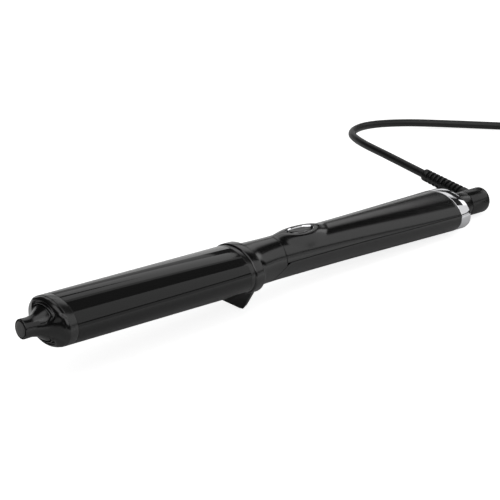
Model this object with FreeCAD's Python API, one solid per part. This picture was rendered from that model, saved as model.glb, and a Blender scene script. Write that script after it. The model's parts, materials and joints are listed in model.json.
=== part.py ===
"""Oval-barrel hair curling wand standing on its safety stand, with a swivel cord.

Millimetres. The wand is modelled along its own axis: x runs from the cool tip to the
cord end, y is across the wide way of the oval, and z is up through the power button.
At the end everything is tilted, so that the wand stands on the foot of its stand and on
the rear rim of its handle. The origin is then the middle of that foot, +X runs towards
the cord end and +Z is up. The free cord, its coil and its plug are modelled in that
standing frame.
"""
import FreeCAD, Part
import math
import os

os.makedirs("parts", exist_ok=True)

# ---- driving dimensions: lengths along the wand, from the tip to the cord end ----
NOSE_LENGTH = 17.6
FRONT_RING_LENGTH = 4.9
BARREL_LENGTH = 113.2
REAR_RING_LENGTH = 2.8
COLLAR_LENGTH = 5.8
NECK_LENGTH = 22.2
HANDLE_LENGTH = 129.5
BAND_LENGTH = 7.5
SOCKET_LENGTH = 13.3
SWIVEL_CAP_LENGTH = 16.2

# ---- driving dimensions: half sizes across the wand ----
BARREL_HALF_Y = 19.0
BARREL_HALF_Z = 12.8
BARREL_WALL = 1.2
COLLAR_PROUD = 0.9
NECK_ROOT_HALF_Y = 16.6
NECK_ROOT_HALF_Z = 12.4
NECK_WAIST_HALF_Y = 12.7
NECK_WAIST_HALF_Z = 12.2
HANDLE_END_HALF_Y = 19.0
HANDLE_END_HALF_Z = 11.6
SHELL_WALL = 2.0
TIP_RADIUS = 5.2
SWIVEL_RADIUS = 7.7

# ---- fits ----
SPIGOT_CLEARANCE = 0.15
RUNNING_CLEARANCE = 0.1
REVEAL = 0.25
SWIVEL_GAP = 0.3

# ---- nose ----
TIP_DISC_RADIUS = 4.5
TIP_DISC_THICKNESS = 1.2
TIP_DISC_BEVEL = 0.35
TIP_STEM_RADIUS = 1.6
TIP_STEM_LENGTH = 3.0
TIP_STEM_SPACE = 0.2
TAIL_HALF_Y = 12.8
TAIL_HALF_Z = 8.9
CAP_FACE_DEPTH = 4.2
RIM_INSET = 0.2
GROOVE_WIDTH = 1.2
GROOVE_DEPTH = 1.6
NOSE_FLOOR = 1.0
NOSE_POST_RADIUS = 3.2
NOSE_SCREW_LENGTH = 12.0
SPIGOT_LENGTH = 6.0
SPIGOT_WALL = 1.8
RIM_BEVEL = 0.4
COLLAR_REAR_BEVEL = 0.8

# ---- heater inside the barrel ----
HEATER_LENGTH = 86.0
HEATER_WIDTH = 14.0
HEATER_THICKNESS = 1.8
HEATER_FRONT_SPACE = 11.0
SPREADER_END_SPACE = 8.0
SPREADER_JOINT_GAP = 1.4
SPRING_WIDTH = 3.0
SPRING_THICKNESS = 0.4
SPRING_LENGTH = 40.0
SPRING_RISE = 2.0
SPRING_SIDE = 12.0
SPRING_SPACE = 0.5
HEATER_SPACE = 0.2
SENSOR_SPACE = 0.1
SPREADER_BORE_RADIUS = 2.2
SPREADER_BORE_Z = 6.3
SENSOR_RADIUS = 1.1
SENSOR_LENGTH = 7.0
LEAD_RADIUS = 0.8
LEAD_SPACING = 8.0

# ---- carrier that joins the barrel to the handle ----
CARRIER_FLANGE = 2.5
CARRIER_TAIL_LENGTH = 11.0
CARRIER_TAIL_RADIUS = 8.6
CARRIER_BORE_RADIUS = 6.0

# ---- safety stand ----
STAND_SETBACK = 5.8
STAND_DROP = 24.4
STAND_FRONT_REACH = 19.0
STAND_REAR_REACH = 12.0
STAND_HALF_WIDTH = 8.0
STAND_TOE_REACH = 0.8
STAND_HEEL_REACH = 4.3
STAND_HEEL_RISE = 0.35
STAND_FOOT_HALF_WIDTH = 2.0
STAND_ROOT_Z = 7.7
STAND_BARREL_GAP = 0.4
STAND_COLLAR_SPACE = 0.3

# ---- handle split and button ----
PARTING_FRONT_Z = 1.0
PARTING_REAR_Z = 2.7
SHELL_NOSE_REACH = 9.5
SHELL_NOSE_BULGE = 2.2
SHELL_KNEE = 3.0
BUTTON_SETBACK = 19.0
POD_RISE = 1.0
POD_HALF_LENGTH = 11.3
POD_HALF_WIDTH = 6.9
POD_SKIRT = 3.6
DISH_HALF_LENGTH = 9.7
DISH_HALF_WIDTH = 5.5
DISH_WALL = 1.2
BEZEL_WALL = 0.75
BEZEL_PROUD = 0.15
BUTTON_SINK = 1.0
BUTTON_THICKNESS = 1.1
BUTTON_FLOOR_GAP = 0.25
BUTTON_STEM_GAP = 0.1
BUTTON_SIDE_CLEARANCE = 0.3
BUTTON_TRAVEL = 0.6
BUTTON_STEM_RADIUS = 1.8
BUTTON_DIMPLE_RADIUS = 14.0
BUTTON_DIMPLE_DEPTH = 0.35

# ---- electronics in the handle ----
BOARD_HALF_WIDTH = 7.5
BOARD_THICKNESS = 1.6
BOARD_FRONT_SPACE = 6.0
SUPPLY_LEAD_LENGTH = 16.6
SUPPLY_LEAD_SPACING = 6.0
BUTTON_TO_CAPACITOR = 5.0
COMPONENT_GAP = 2.0
SWITCH_SIZE = 6.0
SWITCH_HEIGHT = 3.4
SWITCH_PLUNGER_RADIUS = 1.6
SWITCH_PLUNGER_RISE = 0.8
CAPACITOR_SIZE = (13.0, 10.0, 6.5)
POWER_MODULE_SIZE = (18.0, 12.0, 6.0)
TERMINAL_SIZE = (9.0, 13.0, 8.0)
HEAT_SINK_SIZE = (10.0, 11.0, 6.0)
HEAT_SINK_FINS = 5
HEAT_SINK_BASE = 1.2
BOARD_POST_RADIUS = 2.2
FRONT_POST_INSET = 5.0
REAR_POST_INSET = 13.5
SCREW_RADIUS = 1.1
SCREW_HEAD_RADIUS = 2.0
SCREW_HEAD_HEIGHT = 1.3
BOARD_SCREW_DEPTH = 5.2
BOARD_SCREW_HOLE_DEPTH = 6.2

# ---- swivel ----
STEM_RADIUS = 5.0
STEM_END_RADIUS = 3.2
STEM_REACH = 33.6
STEM_STEP_SETBACK = 2.0
CLIP_RADIUS = 7.0
CLIP_THICKNESS = 1.0
CLIP_GROOVE_DEPTH = 0.8
CLIP_GAP = 0.3
CLIP_MOUTH = 5.0
SLIP_RING_WIDTH = 3.0
SLIP_RING_RADIUS = 4.4
SLIP_RING_SPACING = 6.0
SLIP_RING_INSET = 2.0
SOCKET_PLUG_LENGTH = 11.0
SOCKET_WALL = 3.0
BAND_WALL = 1.6
BAND_INSET = 0.1
BAND_FRONT_BEVEL = 0.3
BAND_REAR_BEVEL = 0.9
CONTACT_BLOCK_LENGTH = 10.0
CONTACT_BLOCK_WIDTH = 11.0
CONTACT_BLOCK_ROOM = 2.2
CONTACT_GAP = 0.2
CONTACT_HEIGHT = 1.0
CONTACT_WIDTH = 3.0
CONTACT_INSET = 0.5
SWIVEL_END_ROUND = 3.4
SEAM_BEVEL = 0.25

# ---- strain relief and cord ----
CORD_DIAMETER = 5.0
RELIEF_REACH = 44.0
RELIEF_RISE = 5.0
RELIEF_SETBACK = 1.6
RELIEF_ROOT_RADIUS = 4.4
RELIEF_TIP_RADIUS = 3.8
RELIEF_SOCKET_DEPTH = 4.5
RELIEF_SOCKET_RADIUS = 3.4
RELIEF_SEAT_GAP = 0.2
RELIEF_CORE_WALL = 0.2
RELIEF_ROOT_SINK = 0.6
RELIEF_SLOTS = 9
RELIEF_SLOT_WIDTH = 1.7
RELIEF_SLOT_PITCH = 3.3
RELIEF_FIRST_SLOT = 12.0
RELIEF_SPINE = 1.9

# Cord route on the floor, chosen by hand in the standing frame.
CORD_RUN_POINTS = [
    (184.73, 77.7, 15.72),
    (188.6, 108.0, 15.2),
    (200.5, 131.0, 12.0),
    (224.0, 142.0, 8.0),
    (250.5, 133.5, 5.0),
    (274.0, 113.0, 3.2),
    (294.3, 90.0, 2.6),
    (311.3, 68.0, 2.8),
    (325.3, 45.0, 3.2),
    (332.3, 20.0, 3.3),
]
CORD_TAIL_POINTS = [
    (332.3, 20.0, 18.3),
    (331.8, -2.0, 16.2),
    (321.3, -24.0, 11.2),
    (301.3, -37.5, 6.85),
    (278.3, -37.5, 6.85),
]
COIL_CENTRE = (297.3, 20.0)
COIL_COLUMNS = 3
COIL_LAYERS = 4
COIL_INNER_TURN = 25.0
COIL_EDGE_BEVEL = 1.4
TIE_THICKNESS = 0.8
TIE_WIDTH = 12.0
TIE_SPACE = 0.25

# ---- plug ----
PLUG_LENGTH = 33.0
PLUG_WIDTH = 26.0
PLUG_THICKNESS = 13.7
PLUG_WAIST_WIDTH = 16.0
PLUG_RELIEF_LENGTH = 22.0
PLUG_RELIEF_RADIUS = 4.6
PLUG_RELIEF_WALL = 0.6
PLUG_SHOULDER = 8.0
PLUG_FLANK = 20.0
PLUG_FLANK_BULGE = 0.8
PLUG_EDGE_ROUND = 3.0
PIN_RADIUS = 2.0
PIN_LENGTH = 19.0
PIN_SPACING = 19.0
PIN_TIP_ROUND = 1.2

# ---- stations along the wand, worked out from the lengths ----
nose_end = NOSE_LENGTH
barrel_start = nose_end + FRONT_RING_LENGTH
barrel_end = barrel_start + BARREL_LENGTH
collar_start = barrel_end + REAR_RING_LENGTH
neck_start = collar_start + COLLAR_LENGTH
handle_start = neck_start + NECK_LENGTH
handle_end = handle_start + HANDLE_LENGTH
band_start = handle_end + REVEAL
band_end = band_start + BAND_LENGTH
socket_end = band_end + SOCKET_LENGTH
swivel_start = socket_end + SWIVEL_GAP
swivel_end = swivel_start + SWIVEL_CAP_LENGTH
relief_x = (swivel_start + swivel_end) / 2 + RELIEF_SETBACK
stand_foot_x = collar_start + STAND_SETBACK
button_x = handle_start + BUTTON_SETBACK

bore_half_y = BARREL_HALF_Y - BARREL_WALL
bore_half_z = BARREL_HALF_Z - BARREL_WALL
spigot_half_y = bore_half_y - SPIGOT_CLEARANCE
spigot_half_z = bore_half_z - SPIGOT_CLEARANCE
FAR = 400.0
OVAL_POINTS = 16
NOSE_SECTIONS = 12
HANDLE_SECTIONS = 14
INNER_SECTIONS = 10
LOFT_DEGREE = 3


# ---------------------------------------------------------------- shape helpers
def vec(x, y, z):
    return FreeCAD.Vector(x, y, z)


def ellipse_wire(centre, along_half, across_half, along, across):
    """Closed elliptical wire with half sizes in two directions at right angles."""
    half_sizes = [(along_half, vec(*along)), (across_half, vec(*across))]
    (major, major_way), (minor, minor_way) = sorted(half_sizes, key=lambda item: -item[0])
    if major == minor:
        return Part.Wire(Part.Circle(centre, major_way.cross(minor_way), major).toShape())
    ellipse = Part.Ellipse(centre + major_way.multiply(major), centre + minor_way.multiply(minor), centre)
    return Part.Wire(ellipse.toShape())


def oval(x, half_y, half_z):
    """Closed oval wire across the wand at station x."""
    return ellipse_wire(vec(x, 0, 0), half_y, half_z, vec(0, 1, 0), vec(0, 0, 1))


def slopes_of(xs, ys):
    """Slopes for a smooth curve through the points that never overshoots them."""
    steps = [(y1 - y0) / (x1 - x0) for x0, x1, y0, y1 in zip(xs, xs[1:], ys, ys[1:])]
    inner = [0.0 if before * after <= 0 else 2 * before * after / (before + after)
             for before, after in zip(steps, steps[1:])]
    return [steps[0]] + inner + [steps[-1]]


def eased(xs, ys, x):
    """Height at x of the smooth curve through (xs, ys)."""
    slopes = slopes_of(xs, ys)
    span = next(index for index in range(len(xs) - 1) if x <= xs[index + 1] + 1e-9)
    width = xs[span + 1] - xs[span]
    t = (x - xs[span]) / width
    return ((1 + 2 * t) * (1 - t) ** 2 * ys[span] + t * (1 - t) ** 2 * width * slopes[span]
            + t * t * (3 - 2 * t) * ys[span + 1] + t * t * (t - 1) * width * slopes[span + 1])


def eased_sections(sections, count, inset):
    """Evenly spaced (x, half_y, half_z) sections of the smooth form through a few."""
    xs, half_ys, half_zs = zip(*sections)
    stations = [xs[0] + (xs[-1] - xs[0]) * index / (count - 1) for index in range(count)]
    return [(x, eased(xs, half_ys, x) - inset, eased(xs, half_zs, x) - inset) for x in stations]


def drawn_oval(x, half_y, half_z):
    """The same oval drawn through evenly spread points, for lofts that change a lot."""
    points = []
    for index in range(OVAL_POINTS):
        angle = 2 * math.pi * index / OVAL_POINTS
        points.append(vec(x, half_y * math.cos(angle), half_z * math.sin(angle)))
    curve = Part.BSplineCurve()
    curve.interpolate(points, PeriodicFlag=True)
    return Part.Wire(curve.toShape())


def oval_bar(x_start, x_end, half_y, half_z):
    """Straight bar of oval section between two stations."""
    return Part.Face(oval(x_start, half_y, half_z)).extrude(vec(x_end - x_start, 0, 0))


def oval_ring(x_start, x_end, outer, inner):
    """Oval tube from (half_y, half_z) outside and inside."""
    return oval_bar(x_start, x_end, *outer).cut(oval_bar(x_start, x_end, *inner))


def drawn_loft(sections):
    """Smooth solid through (x, half_y, half_z) ovals."""
    return Part.makeLoft([drawn_oval(*section) for section in sections], True, False, False, LOFT_DEGREE)


def rod(start, end, radius):
    """Round rod between two points."""
    axis = end.sub(start)
    return Part.makeCylinder(radius, axis.Length, start, axis)


def block(x_range, y_range, z_range):
    """Rectangular block from three (low, high) ranges."""
    size = [high - low for low, high in (x_range, y_range, z_range)]
    return Part.makeBox(*size, vec(x_range[0], y_range[0], z_range[0]))


def outer_rim(shape, station):
    """The longest edges that lie across the wand at a station."""
    rims = [edge for edge in shape.Edges
            if abs(edge.BoundBox.XMin - station) < 1e-4 and edge.BoundBox.XLength < 1e-4]
    longest = max(rims, key=lambda edge: edge.Length)
    return [edge for edge in rims if edge.Length > 0.99 * longest.Length]


def rounded_rim(shape, station, radius):
    return shape.makeFillet(radius, outer_rim(shape, station))


def bevelled_rim(shape, station, size):
    return shape.makeChamfer(size, outer_rim(shape, station))


def ellipse_column(centre_x, half_length, half_width, z_low, z_high, flare=0.0):
    """Upright elliptical column on the button's axis, wider by flare at its foot."""
    wires = [ellipse_wire(vec(centre_x, 0, z), half_length + extra, half_width + extra,
                          vec(1, 0, 0), vec(0, 1, 0))
             for z, extra in ((z_low, flare), (z_high, 0.0))]
    return Part.makeLoft(wires, True, True)


def tube_path(points):
    """Straight runs joined by tangent arcs, each as large as its two runs allow."""
    edges = []
    radii = []
    at = points[0]
    for before, corner, after in zip(points, points[1:], points[2:]):
        run_in = corner.sub(before)
        run_out = after.sub(corner)
        turn = run_in.getAngle(run_out)
        reach = 0.45 * min(run_in.Length, run_out.Length)
        radii.append(reach / math.tan(turn / 2))
        toward_in = vec(*run_in).normalize()
        toward_out = vec(*run_out).normalize()
        arc_start = corner.sub(vec(*toward_in).multiply(reach))
        arc_end = corner.add(vec(*toward_out).multiply(reach))
        inward = vec(*toward_out).sub(toward_in).normalize()
        middle = corner.add(inward.multiply(radii[-1] / math.cos(turn / 2) - radii[-1]))
        edges.append(Part.LineSegment(at, arc_start).toShape())
        edges.append(Part.Arc(arc_start, middle, arc_end).toShape())
        at = arc_end
    edges.append(Part.LineSegment(at, points[-1]).toShape())
    return Part.Wire(edges), radii


def cord_tube(points):
    """Round cord swept along its path; prints its length and arc radii."""
    path, radii = tube_path(points)
    start = points[0]
    profile = Part.Wire(Part.Circle(start, points[1].sub(start), CORD_DIAMETER / 2).toShape())
    tube = path.makePipeShell([profile], True, True)
    ideal = math.pi * CORD_DIAMETER ** 2 / 4 * path.Length
    print("cord tube length %.1f, volume ratio %.5f, arc radii %s"
          % (path.Length, tube.Volume / ideal, [round(radius) for radius in radii]))
    return tube


# ---------------------------------------------------------------- forms used by several pieces
def nose_form():
    """Nose: round at the tip, a fishtail that flares smoothly into the barrel's oval."""
    reach = nose_end - CAP_FACE_DEPTH
    gain_y = BARREL_HALF_Y - RIM_INSET - TAIL_HALF_Y
    gain_z = BARREL_HALF_Z - RIM_INSET - TAIL_HALF_Z
    sections = [
        (0.0, TIP_RADIUS, TIP_RADIUS),
        (0.28 * reach, 1.06 * TIP_RADIUS, 1.04 * TIP_RADIUS),
        (0.58 * reach, 1.42 * TIP_RADIUS, 1.28 * TIP_RADIUS),
        (0.84 * reach, 0.77 * TAIL_HALF_Y, 0.9 * TAIL_HALF_Z),
        (reach, TAIL_HALF_Y, TAIL_HALF_Z),
        (reach + 0.25 * CAP_FACE_DEPTH, TAIL_HALF_Y + 0.3 * gain_y, TAIL_HALF_Z + 0.45 * gain_z),
        (reach + 0.62 * CAP_FACE_DEPTH, TAIL_HALF_Y + 0.75 * gain_y, TAIL_HALF_Z + 0.86 * gain_z),
        (nose_end, TAIL_HALF_Y + gain_y, TAIL_HALF_Z + gain_z),
    ]
    return drawn_loft(eased_sections(sections, NOSE_SECTIONS, 0.0))


def handle_sections(count, inset):
    """Ovals of the neck and handle, smaller all round by an inset."""
    widen = HANDLE_END_HALF_Y - NECK_WAIST_HALF_Y
    thin = NECK_WAIST_HALF_Z - HANDLE_END_HALF_Z
    sections = [
        (neck_start, NECK_ROOT_HALF_Y, NECK_ROOT_HALF_Z),
        (neck_start + 0.28 * NECK_LENGTH, 0.62 * NECK_WAIST_HALF_Y + 0.38 * NECK_ROOT_HALF_Y,
         NECK_WAIST_HALF_Z),
        (handle_start, NECK_WAIST_HALF_Y, NECK_WAIST_HALF_Z),
        (handle_start + 0.31 * HANDLE_LENGTH, NECK_WAIST_HALF_Y + 0.16 * widen,
         NECK_WAIST_HALF_Z - 0.3 * thin),
        (handle_start + 0.78 * HANDLE_LENGTH, NECK_WAIST_HALF_Y + 0.75 * widen,
         NECK_WAIST_HALF_Z - 0.8 * thin),
        (handle_end, HANDLE_END_HALF_Y, HANDLE_END_HALF_Z),
    ]
    return eased_sections(sections, count, inset)


def handle_form(inset=0.0):
    """Neck and handle as one flowing form."""
    return drawn_loft(handle_sections(HANDLE_SECTIONS, inset))


def handle_inside():
    """Space inside the shells, in straight steps like the core of a mould."""
    ovals = [oval(*section) for section in handle_sections(INNER_SECTIONS, SHELL_WALL)]
    return Part.makeLoft(ovals, True, True)


def pod_form():
    """Raised oval swell that carries the button, blended down to the handle."""
    swell = ellipse_column(button_x, POD_HALF_LENGTH, POD_HALF_WIDTH, NECK_WAIST_HALF_Z - POD_SKIRT,
                           NECK_WAIST_HALF_Z + 2 * POD_RISE, 2 * POD_SKIRT)
    return handle_form(-POD_RISE).common(swell)


def lower_region(margin):
    """Everything below the parting line, with the lower shell's front curving down."""
    rear = handle_end + 1
    slope = (PARTING_REAR_Z - PARTING_FRONT_Z) / HANDLE_LENGTH
    front_x = handle_start - SHELL_NOSE_REACH + margin
    knee = vec(handle_start + SHELL_KNEE, 0, PARTING_FRONT_Z - margin)
    toe = vec(front_x, 0, -NECK_WAIST_HALF_Z - 1)
    bend = vec(front_x + SHELL_NOSE_BULGE, 0, -0.42 * NECK_WAIST_HALF_Z)
    top_rear = vec(rear, 0, PARTING_REAR_Z + slope - margin)
    bottom_rear = vec(rear, 0, -2 * NECK_WAIST_HALF_Z)
    bottom_front = vec(front_x, 0, -2 * NECK_WAIST_HALF_Z)
    outline = Part.Wire([
        Part.Arc(toe, bend, knee).toShape(),
        Part.LineSegment(knee, top_rear).toShape(),
        Part.LineSegment(top_rear, bottom_rear).toShape(),
        Part.LineSegment(bottom_rear, bottom_front).toShape(),
        Part.LineSegment(bottom_front, toe).toShape(),
    ])
    face = Part.Face(outline)
    face.translate(vec(0, -2 * HANDLE_END_HALF_Y, 0))
    return face.extrude(vec(0, 4 * HANDLE_END_HALF_Y, 0))


# ---------------------------------------------------------------- barrel end pieces
def make_tip_plug():
    disc = Part.makeCylinder(TIP_DISC_RADIUS, TIP_DISC_THICKNESS, vec(0, 0, 0), vec(1, 0, 0))
    disc = bevelled_rim(disc, 0.0, TIP_DISC_BEVEL)
    return disc.fuse(rod(vec(TIP_DISC_THICKNESS, 0, 0),
                         vec(TIP_DISC_THICKNESS + TIP_STEM_LENGTH, 0, 0), TIP_STEM_RADIUS))


def make_tip_nose():
    """Nose with a crescent groove above and below the fishtail, and a spigot behind."""
    nose = nose_form()
    face = nose_end - CAP_FACE_DEPTH
    outer_z = TAIL_HALF_Z + GROOVE_WIDTH
    crescents = oval_bar(face / 2, face + GROOVE_DEPTH, TAIL_HALF_Y, outer_z).cut(
        oval_bar(face / 2, face + GROOVE_DEPTH, 1.25 * TAIL_HALF_Y, TAIL_HALF_Z))
    nose = nose.cut(crescents)
    spigot = oval_bar(nose_end, barrel_start + SPIGOT_LENGTH, spigot_half_y, spigot_half_z)
    nose = nose.fuse(spigot)
    pocket_start = nose_end + NOSE_FLOOR
    pocket = oval_bar(pocket_start, barrel_start + SPIGOT_LENGTH,
                      spigot_half_y - SPIGOT_WALL, spigot_half_z - SPIGOT_WALL)
    nose = nose.cut(pocket)
    post = rod(vec(pocket_start, 0, 0), vec(barrel_start + SPIGOT_LENGTH, 0, 0), NOSE_POST_RADIUS)
    nose = nose.fuse(post)
    screw_end = barrel_start + SPIGOT_LENGTH
    screw_hole = rod(vec(screw_end - NOSE_SCREW_LENGTH - RUNNING_CLEARANCE, 0, 0), vec(screw_end, 0, 0),
                     SCREW_RADIUS + RUNNING_CLEARANCE)
    disc_seat = rod(vec(0, 0, 0), vec(TIP_DISC_THICKNESS, 0, 0), TIP_DISC_RADIUS + RUNNING_CLEARANCE)
    stem_hole = rod(vec(0, 0, 0), vec(TIP_DISC_THICKNESS + TIP_STEM_LENGTH + TIP_STEM_SPACE, 0, 0),
                    TIP_STEM_RADIUS + RUNNING_CLEARANCE)
    for hollow in (screw_hole, disc_seat, stem_hole):
        nose = nose.cut(hollow)
    return nose


def make_front_ring():
    ring = oval_ring(nose_end, barrel_start, (BARREL_HALF_Y, BARREL_HALF_Z),
                     (spigot_half_y + RUNNING_CLEARANCE, spigot_half_z + RUNNING_CLEARANCE))
    return bevelled_rim(ring, nose_end, RIM_BEVEL)


def make_barrel():
    return oval_ring(barrel_start, barrel_end, (BARREL_HALF_Y, BARREL_HALF_Z), (bore_half_y, bore_half_z))


def make_rear_ring():
    return oval_ring(barrel_end, collar_start, (BARREL_HALF_Y, BARREL_HALF_Z),
                     (spigot_half_y + RUNNING_CLEARANCE, spigot_half_z + RUNNING_CLEARANCE))


def make_collar():
    ring = oval_ring(collar_start, neck_start, (BARREL_HALF_Y + COLLAR_PROUD, BARREL_HALF_Z + COLLAR_PROUD),
                     (spigot_half_y + RUNNING_CLEARANCE, spigot_half_z + RUNNING_CLEARANCE))
    ring = bevelled_rim(ring, collar_start, RIM_BEVEL)
    return bevelled_rim(ring, neck_start, COLLAR_REAR_BEVEL)


# ---------------------------------------------------------------- heater
heater_start = barrel_start + HEATER_FRONT_SPACE
heater_end = heater_start + HEATER_LENGTH
spreader_start = barrel_start + SPREADER_END_SPACE
spreader_end = barrel_end - SPREADER_END_SPACE
spring_start = (spreader_start + spreader_end - SPRING_LENGTH) / 2


def make_heater():
    return block((heater_start, heater_end), (-HEATER_WIDTH / 2, HEATER_WIDTH / 2),
                 (-HEATER_THICKNESS / 2, HEATER_THICKNESS / 2))


def make_spreader(side):
    """Half of the aluminium core; side is +1 for the upper half and -1 for the lower."""
    bar = oval_bar(spreader_start, spreader_end, spigot_half_y, spigot_half_z)
    low = SPREADER_JOINT_GAP / 2
    keep = block((0, FAR), (-FAR, FAR), (low, FAR))
    spring_slots = [block((spring_start - SPRING_SPACE, spring_start + SPRING_LENGTH + SPRING_SPACE),
                          (y - SPRING_WIDTH / 2 - SPRING_SPACE, y + SPRING_WIDTH / 2 + SPRING_SPACE),
                          (0, SPRING_RISE))
                    for y in (-SPRING_SIDE, SPRING_SIDE)]
    heater_slot = block((heater_start - HEATER_SPACE, spreader_end),
                        (-HEATER_WIDTH / 2 - HEATER_SPACE, HEATER_WIDTH / 2 + HEATER_SPACE),
                        (0, HEATER_THICKNESS / 2))
    half = bar.common(keep).cut(heater_slot)
    for slot in spring_slots:
        half = half.cut(slot)
    for y in (-HEATER_WIDTH / 2, HEATER_WIDTH / 2):
        half = half.cut(rod(vec(0, y, SPREADER_BORE_Z), vec(FAR, y, SPREADER_BORE_Z), SPREADER_BORE_RADIUS))
    if side < 0:
        half.rotate(vec(0, 0, 0), vec(1, 0, 0), 180)
        groove = block((sensor_start - SENSOR_SPACE, sensor_start + SENSOR_LENGTH + SENSOR_SPACE),
                       (-SENSOR_RADIUS - SENSOR_SPACE, SENSOR_RADIUS + SENSOR_SPACE),
                       (-HEATER_THICKNESS / 2 - 2 * SENSOR_RADIUS, 0))
        half = half.cut(groove)
    return half


sensor_start = (heater_start + heater_end - SENSOR_LENGTH) / 2


def make_sensor():
    z = -HEATER_THICKNESS / 2 - SENSOR_RADIUS
    return rod(vec(sensor_start, 0, z), vec(sensor_start + SENSOR_LENGTH, 0, z), SENSOR_RADIUS)


def make_springs():
    """Two arched leaf springs that push the two halves of the core apart."""
    springs = []
    for y in (-SPRING_SIDE, SPRING_SIDE):
        low = -SPRING_RISE
        crown = SPRING_RISE
        middle = spring_start + SPRING_LENGTH / 2
        end = spring_start + SPRING_LENGTH
        outline = Part.Wire([
            Part.Arc(vec(spring_start, 0, low), vec(middle, 0, crown - SPRING_THICKNESS),
                     vec(end, 0, low)).toShape(),
            Part.LineSegment(vec(end, 0, low), vec(end, 0, low + SPRING_THICKNESS)).toShape(),
            Part.Arc(vec(end, 0, low + SPRING_THICKNESS), vec(middle, 0, crown),
                     vec(spring_start, 0, low + SPRING_THICKNESS)).toShape(),
            Part.LineSegment(vec(spring_start, 0, low + SPRING_THICKNESS),
                             vec(spring_start, 0, low)).toShape(),
        ])
        face = Part.Face(outline)
        face.translate(vec(0, y - SPRING_WIDTH / 2, 0))
        springs.append(face.extrude(vec(0, SPRING_WIDTH, 0)))
    return Part.makeCompound(springs)


def make_barrel_carrier():
    """Plastic carrier: oval spigot in the barrel and rings, round tail in the neck."""
    start = barrel_end - SPIGOT_LENGTH
    flange = neck_start - CARRIER_FLANGE
    carrier = oval_bar(start, neck_start, spigot_half_y, spigot_half_z)
    carrier = carrier.cut(oval_bar(start, flange, spigot_half_y - SPIGOT_WALL, spigot_half_z - SPIGOT_WALL))
    carrier = carrier.fuse(rod(vec(flange, 0, 0), vec(neck_start + CARRIER_TAIL_LENGTH, 0, 0),
                               CARRIER_TAIL_RADIUS))
    return carrier.cut(rod(vec(start, 0, 0), vec(FAR, 0, 0), CARRIER_BORE_RADIUS))


def make_nose_screw():
    """Screw that pulls the nose on from the front spacer of the heater core."""
    head = barrel_start + SPIGOT_LENGTH
    shank = rod(vec(head - NOSE_SCREW_LENGTH, 0, 0), vec(head, 0, 0), SCREW_RADIUS)
    return shank.fuse(rod(vec(head, 0, 0), vec(head + SCREW_HEAD_HEIGHT, 0, 0), SCREW_HEAD_RADIUS))


# ---------------------------------------------------------------- stand
def ground_slope():
    """Tangent of the tilt between the wand's axis and the floor it stands on."""
    return (STAND_DROP - HANDLE_END_HALF_Z) / (handle_end - stand_foot_x)


def kite(x_front, x_wide, x_rear, half_width, z, slope=0.0):
    """Four-cornered outline, widest across x_wide, level or rising with x."""
    corners = [vec(x_front, 0, z + slope * (x_front - x_wide)), vec(x_wide, -half_width, z),
               vec(x_rear, 0, z + slope * (x_rear - x_wide)), vec(x_wide, half_width, z)]
    return Part.makePolygon(corners + corners[:1])


def heel_relief():
    """Wedge taken off under the heel, so that the stand rests on the front of its foot."""
    front_x = stand_foot_x + STAND_TOE_REACH
    rear_x = stand_foot_x + STAND_HEEL_REACH
    low_z = -STAND_DROP - STAND_HEEL_RISE
    corners = [vec(front_x, -FAR, -STAND_DROP + ground_slope() * STAND_TOE_REACH),
               vec(rear_x, -FAR, -STAND_DROP + ground_slope() * STAND_HEEL_REACH + STAND_HEEL_RISE),
               vec(rear_x, -FAR, low_z), vec(front_x, -FAR, low_z)]
    outline = Part.makePolygon(corners + corners[:1])
    return Part.Face(outline).extrude(vec(0, 2 * FAR, 0))


def make_stand():
    """Wedge-shaped safety stand: a sharp front keel, widest behind it, short flat foot."""
    foot = kite(stand_foot_x - STAND_TOE_REACH, stand_foot_x, stand_foot_x + STAND_HEEL_REACH,
                STAND_FOOT_HALF_WIDTH, -STAND_DROP, ground_slope())
    grow = (STAND_DROP - STAND_ROOT_Z) / (STAND_DROP - BARREL_HALF_Z)
    top = kite(stand_foot_x - STAND_FRONT_REACH * grow, stand_foot_x,
               stand_foot_x + STAND_REAR_REACH * grow, STAND_HALF_WIDTH * grow, -STAND_ROOT_Z)
    wedge = Part.makeLoft([top, foot], True, True)
    wedge = wedge.cut(heel_relief())
    barrel_room = oval_bar(0, collar_start, BARREL_HALF_Y + STAND_BARREL_GAP,
                           BARREL_HALF_Z + STAND_BARREL_GAP)
    collar_room = oval_bar(collar_start - STAND_COLLAR_SPACE, neck_start, BARREL_HALF_Y + COLLAR_PROUD,
                           BARREL_HALF_Z + COLLAR_PROUD)
    neck_room = handle_form()
    for room in (barrel_room, collar_room, neck_room):
        wedge = wedge.cut(room)
    return max(wedge.Solids, key=lambda solid: solid.Volume)


# ---------------------------------------------------------------- neck, handle shells
def make_neck_cowl():
    cowl = handle_form().cut(handle_inside())
    cowl = cowl.common(block((neck_start, handle_start - REVEAL / 2), (-FAR, FAR), (-FAR, FAR)))
    return cowl.cut(lower_region(0.0))


def button_cuts():
    """Dish for the bezel, and the hole below it for the button's stem."""
    dish = ellipse_column(button_x, DISH_HALF_LENGTH, DISH_HALF_WIDTH, dish_floor, rim_z + dish_depth)
    stem = rod(vec(button_x, 0, 0), vec(button_x, 0, rim_z), BUTTON_STEM_RADIUS + BUTTON_SIDE_CLEARANCE)
    return dish, stem


def make_upper_shell():
    outer = handle_form().fuse(pod_form())
    floor = ellipse_column(button_x, DISH_HALF_LENGTH + DISH_WALL, DISH_HALF_WIDTH + DISH_WALL,
                           dish_floor - DISH_WALL, NECK_WAIST_HALF_Z)
    shell = outer.cut(handle_inside()).fuse(floor)
    shell = shell.common(block((handle_start + REVEAL / 2, handle_end), (-FAR, FAR), (-FAR, FAR)))
    shell = shell.cut(lower_region(-REVEAL))
    for cut in button_cuts():
        shell = shell.cut(cut)
    return shell


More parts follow.
